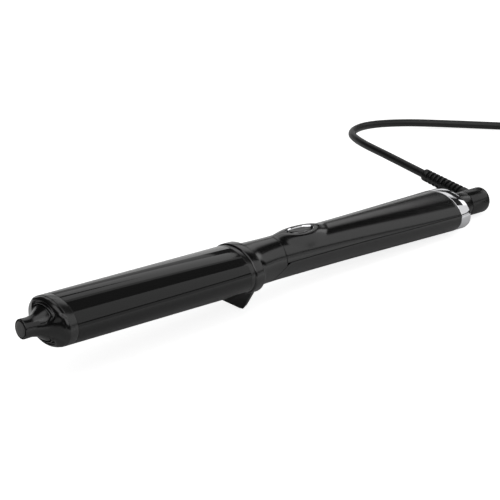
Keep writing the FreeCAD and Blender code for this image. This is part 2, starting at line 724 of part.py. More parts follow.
def board_posts():
    return [(board_start + FRONT_POST_INSET, 0), (board_end - REAR_POST_INSET, 0)]


def make_lower_shell():
    shell = handle_form().cut(handle_inside()).common(lower_region(0.0))
    shell = shell.common(block((0, handle_end), (-FAR, FAR), (-FAR, FAR)))
    for x, y in board_posts():
        post = rod(vec(x, y, -HANDLE_END_HALF_Z + 0.5 * SHELL_WALL), vec(x, y, -board_top),
                   BOARD_POST_RADIUS)
        shell = shell.fuse(post)
    for x, y in board_posts():
        hole = rod(vec(x, y, -board_top - BOARD_SCREW_HOLE_DEPTH), vec(x, y, board_top),
                   SCREW_RADIUS + RUNNING_CLEARANCE)
        shell = shell.cut(hole)
    return shell


# ---------------------------------------------------------------- button
rim_z = NECK_WAIST_HALF_Z + POD_RISE
dish_depth = BUTTON_SINK + BUTTON_THICKNESS + BUTTON_TRAVEL + BUTTON_FLOOR_GAP
dish_floor = rim_z - dish_depth
bezel_half_length = DISH_HALF_LENGTH - RUNNING_CLEARANCE
bezel_half_width = DISH_HALF_WIDTH - RUNNING_CLEARANCE
button_top = rim_z - BUTTON_SINK
button_half_length = bezel_half_length - BEZEL_WALL - BUTTON_SIDE_CLEARANCE
button_half_width = bezel_half_width - BEZEL_WALL - BUTTON_SIDE_CLEARANCE


def make_bezel():
    """Bright oval liner of the dish, its top edge following the swell of the pod."""
    top = rim_z + dish_depth
    outer = ellipse_column(button_x, bezel_half_length, bezel_half_width, dish_floor, top)
    inner = ellipse_column(button_x, bezel_half_length - BEZEL_WALL, bezel_half_width - BEZEL_WALL,
                           dish_floor, top)
    return outer.cut(inner).common(handle_form(-POD_RISE - BEZEL_PROUD))


def make_power_button():
    cap = ellipse_column(button_x, button_half_length, button_half_width,
                         button_top - BUTTON_THICKNESS, button_top)
    dimple = Part.makeSphere(BUTTON_DIMPLE_RADIUS,
                             vec(button_x, 0, button_top + BUTTON_DIMPLE_RADIUS - BUTTON_DIMPLE_DEPTH))
    stem = rod(vec(button_x, 0, plunger_top + BUTTON_TRAVEL + BUTTON_STEM_GAP),
               vec(button_x, 0, button_top - BUTTON_THICKNESS), BUTTON_STEM_RADIUS)
    return cap.cut(dimple).fuse(stem)


# ---------------------------------------------------------------- electronics
board_start = handle_start + BOARD_FRONT_SPACE
board_top = BOARD_THICKNESS / 2
switch_top = board_top + SWITCH_HEIGHT
plunger_top = switch_top + SWITCH_PLUNGER_RISE
plug_start = band_end - BAND_WALL - SOCKET_PLUG_LENGTH
contact_block_start = plug_start - CONTACT_BLOCK_LENGTH
board_end = contact_block_start - SUPPLY_LEAD_LENGTH
terminal_start = board_end - TERMINAL_SIZE[0]
capacitor_start = button_x + BUTTON_TO_CAPACITOR
power_module_start = capacitor_start + CAPACITOR_SIZE[0] + COMPONENT_GAP
heat_sink_start = power_module_start + POWER_MODULE_SIZE[0] + COMPONENT_GAP


def on_board(x, size):
    """Block standing on the board, from its front edge x and its three sizes."""
    return block((x, x + size[0]), (-size[1] / 2, size[1] / 2), (board_top, board_top + size[2]))


def make_board():
    board = block((board_start, board_end), (-BOARD_HALF_WIDTH, BOARD_HALF_WIDTH), (-board_top, board_top))
    for x, y in board_posts():
        board = board.cut(rod(vec(x, y, -board_top), vec(x, y, board_top),
                              SCREW_RADIUS + RUNNING_CLEARANCE))
    return board


def make_switch():
    half = SWITCH_SIZE / 2
    body = block((button_x - half, button_x + half), (-half, half), (board_top, switch_top))
    plunger = rod(vec(button_x, 0, switch_top), vec(button_x, 0, plunger_top), SWITCH_PLUNGER_RADIUS)
    return body.fuse(plunger)


def make_capacitor():
    return on_board(capacitor_start, CAPACITOR_SIZE)


def make_power_module():
    return on_board(power_module_start, POWER_MODULE_SIZE)


def make_heat_sink():
    sink = on_board(heat_sink_start, HEAT_SINK_SIZE)
    pitch = HEAT_SINK_SIZE[1] / (2 * HEAT_SINK_FINS - 1)
    for index in range(HEAT_SINK_FINS - 1):
        low = -HEAT_SINK_SIZE[1] / 2 + (2 * index + 1) * pitch
        sink = sink.cut(block((heat_sink_start, heat_sink_start + HEAT_SINK_SIZE[0]), (low, low + pitch),
                              (board_top + HEAT_SINK_BASE, FAR)))
    return sink


def make_terminal():
    return on_board(terminal_start, TERMINAL_SIZE)


def make_board_screws():
    screws = []
    for x, y in board_posts():
        head = rod(vec(x, y, board_top), vec(x, y, board_top + SCREW_HEAD_HEIGHT), SCREW_HEAD_RADIUS)
        shank = rod(vec(x, y, board_top), vec(x, y, -board_top - BOARD_SCREW_DEPTH), SCREW_RADIUS)
        screws.append(head.fuse(shank))
    return Part.makeCompound(screws)


def make_heater_leads():
    """Two leads from the heater's end, through the carrier's bore, to the board."""
    leads = [rod(vec(heater_end, y, 0), vec(board_start, y, 0), LEAD_RADIUS)
             for y in (-LEAD_SPACING / 2, LEAD_SPACING / 2)]
    return Part.makeCompound(leads)


# ---------------------------------------------------------------- rear band and swivel
plug_half_y = HANDLE_END_HALF_Y - SHELL_WALL - SPIGOT_CLEARANCE
plug_half_z = HANDLE_END_HALF_Z - SHELL_WALL - SPIGOT_CLEARANCE
band_floor = band_end - BAND_WALL


def plug_taper(x):
    """How much narrower the handle's inside is at a station ahead of its end."""
    return (HANDLE_END_HALF_Y - NECK_WAIST_HALF_Y) * 0.25 * max(handle_end - x, 0) / (0.22 * HANDLE_LENGTH)


def make_band():
    """Bright end band: an oval cup with a round hole for the swivel socket."""
    band = oval_bar(band_start, band_end, HANDLE_END_HALF_Y - BAND_INSET, HANDLE_END_HALF_Z - BAND_INSET)
    band = bevelled_rim(band, band_end, BAND_REAR_BEVEL)
    band = bevelled_rim(band, band_start, BAND_FRONT_BEVEL)
    band = band.cut(oval_bar(band_start, band_floor, plug_half_y + SPIGOT_CLEARANCE,
                             plug_half_z + SPIGOT_CLEARANCE))
    return band.cut(rod(vec(band_start, 0, 0), vec(FAR, 0, 0), SWIVEL_RADIUS + RUNNING_CLEARANCE))


def make_socket():
    """Fixed half of the swivel: oval plug in the handle and a round neck behind the band."""
    narrow = plug_taper(plug_start)
    plug = Part.makeLoft([oval(plug_start, plug_half_y - narrow, plug_half_z),
                          oval(handle_end, plug_half_y, plug_half_z)], True, True)
    plug = plug.fuse(oval_bar(handle_end, band_floor, plug_half_y, plug_half_z))
    pocket = oval_bar(plug_start, socket_wall_start, plug_half_y - narrow - SPIGOT_WALL,
                      plug_half_z - SPIGOT_WALL)
    neck = rod(vec(socket_wall_start, 0, 0), vec(socket_end, 0, 0), SWIVEL_RADIUS)
    neck = bevelled_rim(neck, socket_end, SEAM_BEVEL)
    bore = rod(vec(plug_start, 0, 0), vec(FAR, 0, 0), STEM_RADIUS + RUNNING_CLEARANCE)
    return plug.cut(pocket).fuse(neck).cut(bore)


socket_wall_start = band_floor - SOCKET_WALL
clip_start = socket_wall_start - CLIP_GAP - CLIP_THICKNESS
clip_end = clip_start + CLIP_THICKNESS
stem_step = clip_start - STEM_STEP_SETBACK
stem_front = swivel_start - STEM_REACH


def risen(shape):
    """Turns a shape about the wand's axis to the side to which the cord leaves."""
    turned = shape.copy()
    turned.rotate(vec(0, 0, 0), vec(1, 0, 0), RELIEF_RISE)
    return turned


def make_swivel_cap():
    """Turning half: round cap with a domed end, and a stem that runs in the socket."""
    cap = rod(vec(swivel_start, 0, 0), vec(swivel_end, 0, 0), SWIVEL_RADIUS)
    cap = rounded_rim(cap, swivel_end, SWIVEL_END_ROUND)
    cap = bevelled_rim(cap, swivel_start, SEAM_BEVEL)
    stem = rod(vec(stem_step, 0, 0), vec(swivel_start + SEAM_BEVEL, 0, 0), STEM_RADIUS)
    thin = rod(vec(stem_front, 0, 0), vec(stem_step, 0, 0), STEM_END_RADIUS)
    cap = cap.fuse([stem, thin])
    groove_outside = rod(vec(clip_start, 0, 0), vec(clip_end, 0, 0), STEM_RADIUS + RUNNING_CLEARANCE)
    groove_core = rod(vec(clip_start, 0, 0), vec(clip_end, 0, 0), STEM_RADIUS - CLIP_GROOVE_DEPTH)
    cap = cap.cut(groove_outside.cut(groove_core))
    seat = rod(vec(relief_x, SWIVEL_RADIUS - RELIEF_SOCKET_DEPTH, 0), vec(relief_x, FAR, 0),
               RELIEF_SOCKET_RADIUS + RUNNING_CLEARANCE)
    return cap.cut(risen(seat))


def make_clip():
    """Open retaining ring in the stem's groove, ahead of the socket's wall."""
    ring = rod(vec(clip_start, 0, 0), vec(clip_end, 0, 0), CLIP_RADIUS)
    ring = ring.cut(rod(vec(clip_start, 0, 0), vec(clip_end, 0, 0), STEM_RADIUS - CLIP_GROOVE_DEPTH))
    return ring.cut(block((clip_start, clip_end), (-CLIP_MOUTH / 2, CLIP_MOUTH / 2), (-FAR, 0)))


def ring_starts():
    return [stem_front + SLIP_RING_INSET + index * SLIP_RING_SPACING for index in range(2)]


def make_slip_rings():
    rings = []
    for x in ring_starts():
        ring = rod(vec(x, 0, 0), vec(x + SLIP_RING_WIDTH, 0, 0), SLIP_RING_RADIUS)
        rings.append(ring.cut(rod(vec(x, 0, 0), vec(x + SLIP_RING_WIDTH, 0, 0), STEM_END_RADIUS)))
    return Part.makeCompound(rings)


contact_low = SLIP_RING_RADIUS + CONTACT_GAP
contact_block_low = contact_low + CONTACT_HEIGHT
contact_block_high = HANDLE_END_HALF_Z - SHELL_WALL - CONTACT_BLOCK_ROOM


def make_contact_block():
    """Insulating block that carries the contacts, fixed to the socket's front face."""
    half_width = CONTACT_BLOCK_WIDTH / 2
    return block((contact_block_start, plug_start), (-half_width, half_width),
                 (contact_block_low, contact_block_high))


def make_contacts():
    """One spring contact over each slip ring."""
    fingers = []
    for x in ring_starts():
        fingers.append(block((x + CONTACT_INSET, x + SLIP_RING_WIDTH - CONTACT_INSET),
                             (-CONTACT_WIDTH / 2, CONTACT_WIDTH / 2), (contact_low, contact_block_low)))
    return Part.makeCompound(fingers)


def make_supply_leads():
    z = (contact_block_low + contact_block_high) / 2
    leads = [rod(vec(board_end, y, z), vec(contact_block_start, y, z), LEAD_RADIUS)
             for y in (-SUPPLY_LEAD_SPACING / 2, SUPPLY_LEAD_SPACING / 2)]
    return Part.makeCompound(leads)


# ---------------------------------------------------------------- strain relief
def make_strain_relief():
    """Ribbed sleeve: slots cut from above and below leave a spine on each side."""
    root = SWIVEL_RADIUS - RELIEF_ROOT_SINK
    length = RELIEF_REACH - root
    sleeve = Part.makeCone(RELIEF_ROOT_RADIUS, RELIEF_TIP_RADIUS, length, vec(relief_x, root, 0),
                           vec(0, 1, 0))
    cap_room = rod(vec(swivel_start, 0, 0), vec(swivel_end, 0, 0), SWIVEL_RADIUS)
    sleeve = sleeve.cut(cap_room)
    core = rod(vec(relief_x, 0, 0), vec(relief_x, RELIEF_REACH, 0),
               CORD_DIAMETER / 2 + RELIEF_CORE_WALL)
    for index in range(RELIEF_SLOTS):
        y = RELIEF_FIRST_SLOT + index * RELIEF_SLOT_PITCH
        for z_range in ((RELIEF_SPINE / 2, FAR), (-FAR, -RELIEF_SPINE / 2)):
            slot = block((0, FAR), (y, y + RELIEF_SLOT_WIDTH), z_range)
            sleeve = sleeve.cut(slot.cut(core))
    seat_start = SWIVEL_RADIUS - RELIEF_SOCKET_DEPTH + RELIEF_SEAT_GAP
    seat = rod(vec(relief_x, seat_start, 0), vec(relief_x, RELIEF_FIRST_SLOT, 0), RELIEF_SOCKET_RADIUS)
    return risen(sleeve.fuse(seat))


# ---------------------------------------------------------------- standing frame
def stand_up(shape):
    """Tilts a shape from the wand's own axis to the wand standing on its foot."""
    placed = shape.copy()
    placed.translate(vec(-stand_foot_x, 0, STAND_DROP))
    placed.rotate(vec(0, 0, 0), vec(0, 1, 0), math.degrees(math.atan(ground_slope())))
    return placed


def standing_point(x, y, z):
    """The same move for one point."""
    return stand_up(Part.Vertex(x, y, z)).Point


# ---------------------------------------------------------------- cord, coil and plug
coil_inner = COIL_INNER_TURN - CORD_DIAMETER / 2
coil_outer = coil_inner + COIL_COLUMNS * CORD_DIAMETER
coil_height = COIL_LAYERS * CORD_DIAMETER


def make_cord_run():
    rise = math.radians(RELIEF_RISE)
    exit_point = standing_point(relief_x, RELIEF_REACH * math.cos(rise), RELIEF_REACH * math.sin(rise))
    return cord_tube([exit_point] + [vec(*point) for point in CORD_RUN_POINTS])


def make_cord_tail():
    return cord_tube([vec(*point) for point in CORD_TAIL_POINTS])


def make_coil():
    """Outer shape of the wound cord: a ring of square section with bevelled edges."""
    x, y = COIL_CENTRE
    ring = Part.makeCylinder(coil_outer, coil_height, vec(x, y, TIE_THICKNESS))
    ring = ring.cut(Part.makeCylinder(coil_inner, coil_height, vec(x, y, TIE_THICKNESS)))
    circles = [edge for edge in ring.Edges if isinstance(edge.Curve, Part.Circle)]
    return ring.makeChamfer(COIL_EDGE_BEVEL, circles)


def make_tie():
    """Strap round one place of the coil, on the side away from the cord's ends."""
    x, y = COIL_CENTRE
    middle = x - (coil_inner + coil_outer) / 2
    half_in = (coil_outer - coil_inner) / 2 + TIE_SPACE
    half_out = half_in + TIE_THICKNESS
    outer = block((middle - half_out, middle + half_out), (y - TIE_WIDTH / 2, y + TIE_WIDTH / 2),
                  (0, coil_height + 2 * TIE_THICKNESS))
    corners = [edge for edge in outer.Edges if edge.BoundBox.YLength > TIE_WIDTH / 2]
    outer = outer.makeFillet(COIL_EDGE_BEVEL, corners)
    coil = Part.makeCylinder(coil_outer + TIE_SPACE, coil_height, vec(x, y, TIE_THICKNESS))
    core = Part.makeCylinder(coil_inner - TIE_SPACE, coil_height, vec(x, y, TIE_THICKNESS))
    return outer.cut(coil.cut(core))


plug_rear_x, plug_y, plug_z = CORD_TAIL_POINTS[-1]
plug_relief_start = plug_rear_x - PLUG_RELIEF_LENGTH
plug_front = plug_relief_start - PLUG_LENGTH


def make_plug():
    """Flat two-pin plug body with a waist, and its own short strain relief."""
    half_wide = PLUG_WIDTH / 2
    half_waist = PLUG_WAIST_WIDTH / 2
    shoulder = plug_front + PLUG_SHOULDER
    flank = plug_front + PLUG_FLANK
    rear = plug_relief_start
    outline = Part.Wire([
        Part.LineSegment(vec(plug_front, -half_wide, 0), vec(plug_front, half_wide, 0)).toShape(),
        Part.LineSegment(vec(plug_front, half_wide, 0), vec(shoulder, half_wide, 0)).toShape(),
        Part.Arc(vec(shoulder, half_wide, 0), vec(flank, half_waist + PLUG_FLANK_BULGE, 0),
                 vec(rear, half_waist, 0)).toShape(),
        Part.LineSegment(vec(rear, half_waist, 0), vec(rear, -half_waist, 0)).toShape(),
        Part.Arc(vec(rear, -half_waist, 0), vec(flank, -half_waist - PLUG_FLANK_BULGE, 0),
                 vec(shoulder, -half_wide, 0)).toShape(),
        Part.LineSegment(vec(shoulder, -half_wide, 0), vec(plug_front, -half_wide, 0)).toShape(),
    ])
    face = Part.Face(outline)
    face.translate(vec(0, plug_y, plug_z - PLUG_THICKNESS / 2))
    body = face.extrude(vec(0, 0, PLUG_THICKNESS))
    long_edges = [edge for edge in body.Edges
                  if edge.BoundBox.ZLength < PLUG_EDGE_ROUND / 2 < edge.BoundBox.XLength]
    body = body.makeFillet(PLUG_EDGE_ROUND, long_edges)
    relief = Part.makeCone(PLUG_RELIEF_RADIUS, CORD_DIAMETER / 2 + PLUG_RELIEF_WALL, PLUG_RELIEF_LENGTH,
                           vec(rear, plug_y, plug_z), vec(1, 0, 0))
    return body.fuse(relief)


def make_plug_pins():
    pins = []
    for side in (-1, 1):
        y = plug_y + side * PIN_SPACING / 2
        pin = Part.makeCylinder(PIN_RADIUS, PIN_LENGTH, vec(plug_front - PIN_LENGTH, y, plug_z),
                                vec(1, 0, 0))
        pins.append(rounded_rim(pin, plug_front - PIN_LENGTH, PIN_TIP_ROUND))
    return Part.makeCompound(pins)


wand_nodes = {
    "tip_disc": make_tip_plug(),
    "tip_nose": make_tip_nose(),
    "nose_screw": make_nose_screw(),
    "front_ring": make_front_ring(),
    "barrel": make_barrel(),
    "rear_ring": make_rear_ring(),
    "collar": make_collar(),
    "ceramic_heater": make_heater(),
    "heat_spreader_upper": make_spreader(1),
    "heat_spreader_lower": make_spreader(-1),
    "spreader_springs": make_springs(),
    "thermal_sensor": make_sensor(),
    "barrel_carrier": make_barrel_carrier(),
    "safety_stand": make_stand(),
    "neck_cowl": make_neck_cowl(),
    "handle_upper_shell": make_upper_shell(),
    "handle_lower_shell": make_lower_shell(),
    "button_bezel": make_bezel(),
    "power_button": make_power_button(),
    "circuit_board": make_board(),
    "tact_switch": make_switch(),
    "capacitor": make_capacitor(),
    "power_module": make_power_module(),
    "heat_sink": make_heat_sink(),
    "terminal_block": make_terminal(),
    "board_screws": make_board_screws(),
    "heater_leads": make_heater_leads(),
    "supply_leads": make_supply_leads(),
    "chrome_band": make_band(),
    "swivel_socket": make_socket(),
    "swivel_cap": make_swivel_cap(),
    "retaining_clip": make_clip(),
    "slip_rings": make_slip_rings(),
    "contact_block": make_contact_block(),
    "brush_contacts": make_contacts(),
    "strain_relief": make_strain_relief(),
}
standing_nodes = {
    "cord_run": make_cord_run(),
    "cord_coil": make_coil(),
    "coil_tie": make_tie(),
    "cord_tail": make_cord_tail(),
    "plug_body": make_plug(),
    "plug_pins": make_plug_pins(),
}
nodes = {name: stand_up(shape) for name, shape in wand_nodes.items()}
nodes.update(standing_nodes)
for name, shape in nodes.items():
    if not shape.isValid() or shape.Volume <= 0:
        print("invalid shape:", name)
    shape.exportStep(os.path.join("parts", name + ".step"))
print(len(nodes), "nodes")
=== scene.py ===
"""Finish of an oval-barrel hair curling wand that stands on its safety stand.

Metres, in the frame of the construction model: the origin is the middle of the stand's
foot, +X runs towards the cord end, +Z is up. Pieces of the wand are shaped along its own
axis, from the cool tip back, and then tilted to where it stands.
"""
import json
import math

import bpy
from mathutils import Matrix, Vector


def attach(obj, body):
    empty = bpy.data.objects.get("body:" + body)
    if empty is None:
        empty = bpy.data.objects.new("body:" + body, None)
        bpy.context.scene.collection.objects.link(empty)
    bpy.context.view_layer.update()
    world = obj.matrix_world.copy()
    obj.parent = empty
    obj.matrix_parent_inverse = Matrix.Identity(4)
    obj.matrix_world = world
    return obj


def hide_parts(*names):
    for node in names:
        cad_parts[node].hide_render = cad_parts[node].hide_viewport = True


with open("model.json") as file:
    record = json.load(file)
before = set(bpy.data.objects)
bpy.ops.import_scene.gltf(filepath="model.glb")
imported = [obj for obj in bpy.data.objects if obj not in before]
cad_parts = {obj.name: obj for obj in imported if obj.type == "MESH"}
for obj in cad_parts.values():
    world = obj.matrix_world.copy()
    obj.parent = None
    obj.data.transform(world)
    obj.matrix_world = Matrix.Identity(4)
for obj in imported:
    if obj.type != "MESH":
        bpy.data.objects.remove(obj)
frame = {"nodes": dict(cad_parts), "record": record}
bpy.ops.object.select_all(action="DESELECT")
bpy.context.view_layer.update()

# ---------------------------------------------------------------- how the wand stands
FOOT_STATION = 0.1443
FOOT_DROP = 0.0244
HANDLE_END = 0.2960
HANDLE_END_HALF_Z = 0.0116
TILT_ANGLE = math.atan((FOOT_DROP - HANDLE_END_HALF_Z) / (HANDLE_END - FOOT_STATION))
TILT = Matrix.Rotation(TILT_ANGLE, 4, "Y") @ Matrix.Translation((-FOOT_STATION, 0, FOOT_DROP))
UNTILT = TILT.inverted()


def extent(node):
    """Lowest and highest corner of a construction node, measured along the wand's own axis."""
    places = [UNTILT @ vertex.co for vertex in frame["nodes"][node].data.vertices]
    return [Vector([pick(place[axis] for place in places) for axis in range(3)])
            for pick in (min, max)]


# ---------------------------------------------------------------- modelling helpers
BARREL_SIDES = 128
ROUND_SIDES = 96
DISC_SIDES = 64
MERGE_DISTANCE = 1e-6


def only(piece):
    """Makes a piece the one that operators act on."""
    bpy.ops.object.select_all(action="DESELECT")
    piece.select_set(True)
    bpy.context.view_layer.objects.active = piece


def open_mesh(piece):
    """Opens a piece in edit mode with the whole of it chosen."""
    only(piece)
    bpy.ops.object.mode_set(mode="EDIT")
    bpy.ops.mesh.select_all(action="SELECT")


def close_mesh():
    bpy.ops.object.mode_set(mode="OBJECT")


def modify(piece, kind, **settings):
    """Adds a modifier with its settings and applies it."""
    only(piece)
    modifier = piece.modifiers.new(kind.lower(), kind)
    for name, value in settings.items():
        setattr(modifier, name, value)
    bpy.ops.object.modifier_apply(modifier=modifier.name)


def soften(piece, width, segments=2, angle=40):
    """Rounds the edges of a piece that are sharper than an angle in degrees."""
    modify(piece, "BEVEL", width=width, segments=segments, limit_method="ANGLE",
           angle_limit=math.radians(angle), use_clamp_overlap=True, harden_normals=False)


def smooth(piece, angle=35):
    """Shades a piece smooth, except at edges sharper than an angle in degrees."""
    only(piece)
    bpy.ops.object.shade_smooth_by_angle(angle=math.radians(angle))


def outward(piece):
    """Merges what meets and turns all faces outwards."""
    open_mesh(piece)
    bpy.ops.mesh.remove_doubles(threshold=MERGE_DISTANCE)
    bpy.ops.mesh.normals_make_consistent(inside=False)
    close_mesh()


def close_ends(piece):
    """Fills the open ends of a tube."""
    open_mesh(piece)
    bpy.ops.mesh.fill_holes(sides=0)
    bpy.ops.mesh.normals_make_consistent(inside=False)
    close_mesh()


def face_out(piece):
    """Turns the faces of an open sheet away from the wand's axis."""
    outwardness = sum(polygon.normal.y * polygon.center.y + polygon.normal.z * polygon.center.z
                      for polygon in piece.data.polygons)
    if outwardness < 0:
        open_mesh(piece)
        bpy.ops.mesh.flip_normals()
        close_mesh()


def sink_front(piece, wall, depth):
    """Leaves a wall round the front face and sinks the rest of it."""
    front = min(piece.data.polygons, key=lambda polygon: polygon.center.x).index
    open_mesh(piece)
    bpy.ops.mesh.select_all(action="DESELECT")
    bpy.ops.mesh.select_mode(type="FACE")
    close_mesh()
    piece.data.polygons[front].select = True
    bpy.ops.object.mode_set(mode="EDIT")
    bpy.ops.mesh.inset(thickness=wall)
    bpy.ops.mesh.extrude_region_move(TRANSFORM_OT_translate={"value": (depth, 0, 0)})
    bpy.ops.mesh.select_mode(type="VERT")
    close_mesh()


def oval_stack(name, sections, sides=BARREL_SIDES, ring=False):
    """Body drawn through (x, half_y, half_z) ovals; a ring's last oval is its first again."""
    x, half_y, half_z = sections[0]
    bpy.ops.mesh.primitive_circle_add(
        vertices=sides, radius=1, fill_type="NOTHING" if ring else "NGON",
        rotation=(0, math.pi / 2, 0))
    piece = bpy.context.object
    piece.name = name
    bpy.ops.object.transform_apply()
    open_mesh(piece)
    bpy.ops.transform.resize(value=(1, half_y, half_z), center_override=(0, 0, 0))
    bpy.ops.transform.translate(value=(x, 0, 0))
    for next_x, next_y, next_z in sections[1:]:
        bpy.ops.mesh.extrude_region_move(TRANSFORM_OT_translate={"value": (next_x - x, 0, 0)})
        bpy.ops.transform.resize(value=(1, next_y / half_y, next_z / half_z),
                                 center_override=(next_x, 0, 0))
        x, half_y, half_z = next_x, next_y, next_z
    close_mesh()
    outward(piece)
    return piece


def drawn_sheet(name, columns, rows, shape):
    """Sheet of columns by rows whose points shape(u, v) places, u and v from 0 to 1."""
    bpy.ops.mesh.primitive_grid_add(x_subdivisions=columns, y_subdivisions=rows, size=1)
    piece = bpy.context.object
    piece.name = name
    for vertex in piece.data.vertices:
        vertex.co = shape(held(vertex.co.x + 0.5), held(vertex.co.y + 0.5))
    outward(piece)
    return piece


def turned_copy(node, name):
    """Merged copy of a construction node, with its flat faces joined, along the wand's axis."""
    source = frame["nodes"][node]
    piece = bpy.data.objects.new(name, source.data.copy())
    bpy.context.scene.collection.objects.link(piece)
    piece.data.transform(UNTILT)
    open_mesh(piece)
    bpy.ops.mesh.remove_doubles(threshold=MERGE_DISTANCE)
    bpy.ops.mesh.customdata_custom_splitnormals_clear()
    bpy.ops.mesh.dissolve_limited(angle_limit=math.radians(2))
    close_mesh()
    return piece


# ---------------------------------------------------------------- curves to draw with
def held(value):
    """The value, kept between 0 and 1."""
    return min(max(value, 0.0), 1.0)


def smooth_step(value, low, high):
    """Rises from 0 at low to 1 at high, level at both."""
    part = held((value - low) / (high - low))
    return part * part * (3 - 2 * part)


def eased(stations, x):
    """Heights at x on the smooth curves through (x, height, height...) stations.

    The curves never run past the heights of two neighbouring stations.
    """
    xs = [station[0] for station in stations]
    span = next((index for index in range(len(xs) - 1) if x <= xs[index + 1]), len(xs) - 2)
    width = xs[span + 1] - xs[span]
    t = held((x - xs[span]) / width)
    heights = []
    for ys in list(zip(*stations))[1:]:
        steps = [(y1 - y0) / (x1 - x0) for x0, x1, y0, y1 in zip(xs, xs[1:], ys, ys[1:])]
        slopes = [steps[0]] + [0.0 if a * b <= 0 else 2 * a * b / (a + b)
                               for a, b in zip(steps, steps[1:])] + [steps[-1]]
        heights.append((1 + 2 * t) * (1 - t) ** 2 * ys[span]
                       + t * (1 - t) ** 2 * width * slopes[span]
                       + t * t * (3 - 2 * t) * ys[span + 1]
                       + t * t * (t - 1) * width * slopes[span + 1])
    return heights


def quarter_round(radius, parts):
    """(drop, inset) steps round a quarter circle, from its side to its top."""
    swings = [step * math.pi / (2 * parts) for step in range(1, parts + 1)]
    return [(radius * (1 - math.sin(swing)), radius * (1 - math.cos(swing)))
            for swing in swings]


# ---------------------------------------------------------------- shader helpers
MIX_FIRST_COLOR = 6
MIX_SECOND_COLOR = 7
MIX_COLOR_RESULT = 2


class Reading:
    """A number that changes over a surface; arithmetic on it adds the Math nodes."""

    def __init__(self, finish, socket):
        self.finish = finish
        self.socket = socket

    def worked(self, operation, first, second):
        node = self.finish.node("ShaderNodeMath", {0: first, 1: second}, operation=operation)
        return Reading(self.finish, node.outputs[0])

    def __add__(self, other):
        return self.worked("ADD", self, other)

    __radd__ = __add__

    def __sub__(self, other):
        return self.worked("SUBTRACT", self, other)

    def __mul__(self, other):
        return self.worked("MULTIPLY", self, other)

    __rmul__ = __mul__

    def __truediv__(self, other):
        return self.worked("DIVIDE", self, other)


class Finish:
    """One material: its nodes, and the shader that they feed."""

    def __init__(self, name, color, roughness, ior=1.5, metallic=0.0):
        self.name = name
        self.material = bpy.data.materials.new(name)
        self.material.use_nodes = True
        self.tree = self.material.node_tree
        self.shader = self.tree.nodes["Principled BSDF"]
        self.shader.inputs["Base Color"].default_value = (*color, 1)
        self.shader.inputs["Roughness"].default_value = roughness
        self.shader.inputs["IOR"].default_value = ior
        self.shader.inputs["Metallic"].default_value = metallic
        self.place = self.node("ShaderNodeTexCoord", {}).outputs["Object"]

    def node(self, kind, inputs, **settings):
        """Any node, from the values or links of its sockets and its settings."""
        node = self.tree.nodes.new(kind)
        for name, value in settings.items():
            setattr(node, name, value)
        for name, value in inputs.items():
            self.feed(node.inputs[name], value)
        return node

    def feed(self, socket, value):
        """Sets a socket to a value, or links a reading or another socket to it."""
        if isinstance(value, Reading):
            value = value.socket
        if isinstance(value, bpy.types.NodeSocket):
            self.tree.links.new(value, socket)
        else:
            socket.default_value = value

    def noise(self, scale, detail, stretch=(1, 1, 1)):
        place = self.node("ShaderNodeMapping", {"Vector": self.place, "Scale": stretch})
        node = self.node("ShaderNodeTexNoise",
                         {"Vector": place.outputs[0], "Scale": scale, "Detail": detail})
        return Reading(self, node.outputs["Fac"])

    def bands(self, scale, axis, distortion=0.0):
        node = self.node("ShaderNodeTexWave",
                         {"Vector": self.place, "Scale": scale, "Distortion": distortion},
                         wave_type="BANDS", bands_direction=axis)
        return Reading(self, node.outputs["Fac"])

    def blend(self, amount, first, second):
        """Colour between two others."""
        node = self.node("ShaderNodeMix", {"Factor": amount}, data_type="RGBA")
        node.inputs[MIX_FIRST_COLOR].default_value = (*first, 1)
        node.inputs[MIX_SECOND_COLOR].default_value = (*second, 1)
        return node.outputs[MIX_COLOR_RESULT]

    def color(self, amount, first, second):
        self.feed(self.shader.inputs["Base Color"], self.blend(amount, first, second))

    def rough(self, value):
        self.feed(self.shader.inputs["Roughness"], value)

    def relief(self, height, depth):
        bump = self.node("ShaderNodeBump", {"Height": height, "Distance": depth, "Strength": 1.0})
        self.feed(self.shader.inputs["Normal"], bump.outputs["Normal"])


# ---------------------------------------------------------------- materials
def grey(shade):
    return (shade, shade, shade)


def moulded_plastic(name, shade, roughness, ior, grain, depth):
    """Black plastic from a spark-eroded mould: fine even grain, slightly uneven sheen."""
    finish = Finish(name, (shade, shade, shade * 1.05), roughness, ior)
    fine = finish.noise(grain, detail=2.0)
    broad = finish.noise(60.0, detail=2.0)
    finish.color(broad, grey(shade * 0.9), grey(shade * 1.15))
    finish.rough(roughness - 0.03 + 0.04 * broad + 0.02 * fine)
    finish.relief(fine, depth)
    return finish


def barrel_coating():
    """Gloss black ceramic coating: slight orange peel and a hint of fine mineral specks."""
    finish = Finish("barrel_coating", grey(0.010), roughness=0.06, ior=1.42)
    peel = finish.noise(700.0, detail=1.0)
    specks = finish.noise(5200.0, detail=0.0)
    finish.color((specks - 0.62) * 3.0, grey(0.010), (0.018, 0.018, 0.019))
    finish.rough(0.045 + 0.03 * finish.noise(45.0, detail=2.0))
    finish.relief(peel, depth=0.0000025)
    return finish


def bright_plating():
    finish = Finish("chrome", (0.83, 0.83, 0.85), roughness=0.06, metallic=1.0)
    finish.rough(0.04 + 0.05 * finish.noise(90.0, detail=3.0))
    finish.relief(finish.noise(350.0, detail=1.0), depth=0.000004)
    return finish


def soft_rubber(name, shade, roughness):
    finish = Finish(name, grey(shade), roughness, ior=1.48)
    fine = finish.noise(2600.0, detail=2.0)
    broad = finish.noise(120.0, detail=3.0)
    finish.color(broad, grey(shade * 0.8), grey(shade * 1.3))
    finish.rough(roughness - 0.05 + 0.1 * broad)
    finish.relief(fine, depth=0.00002)
    return finish


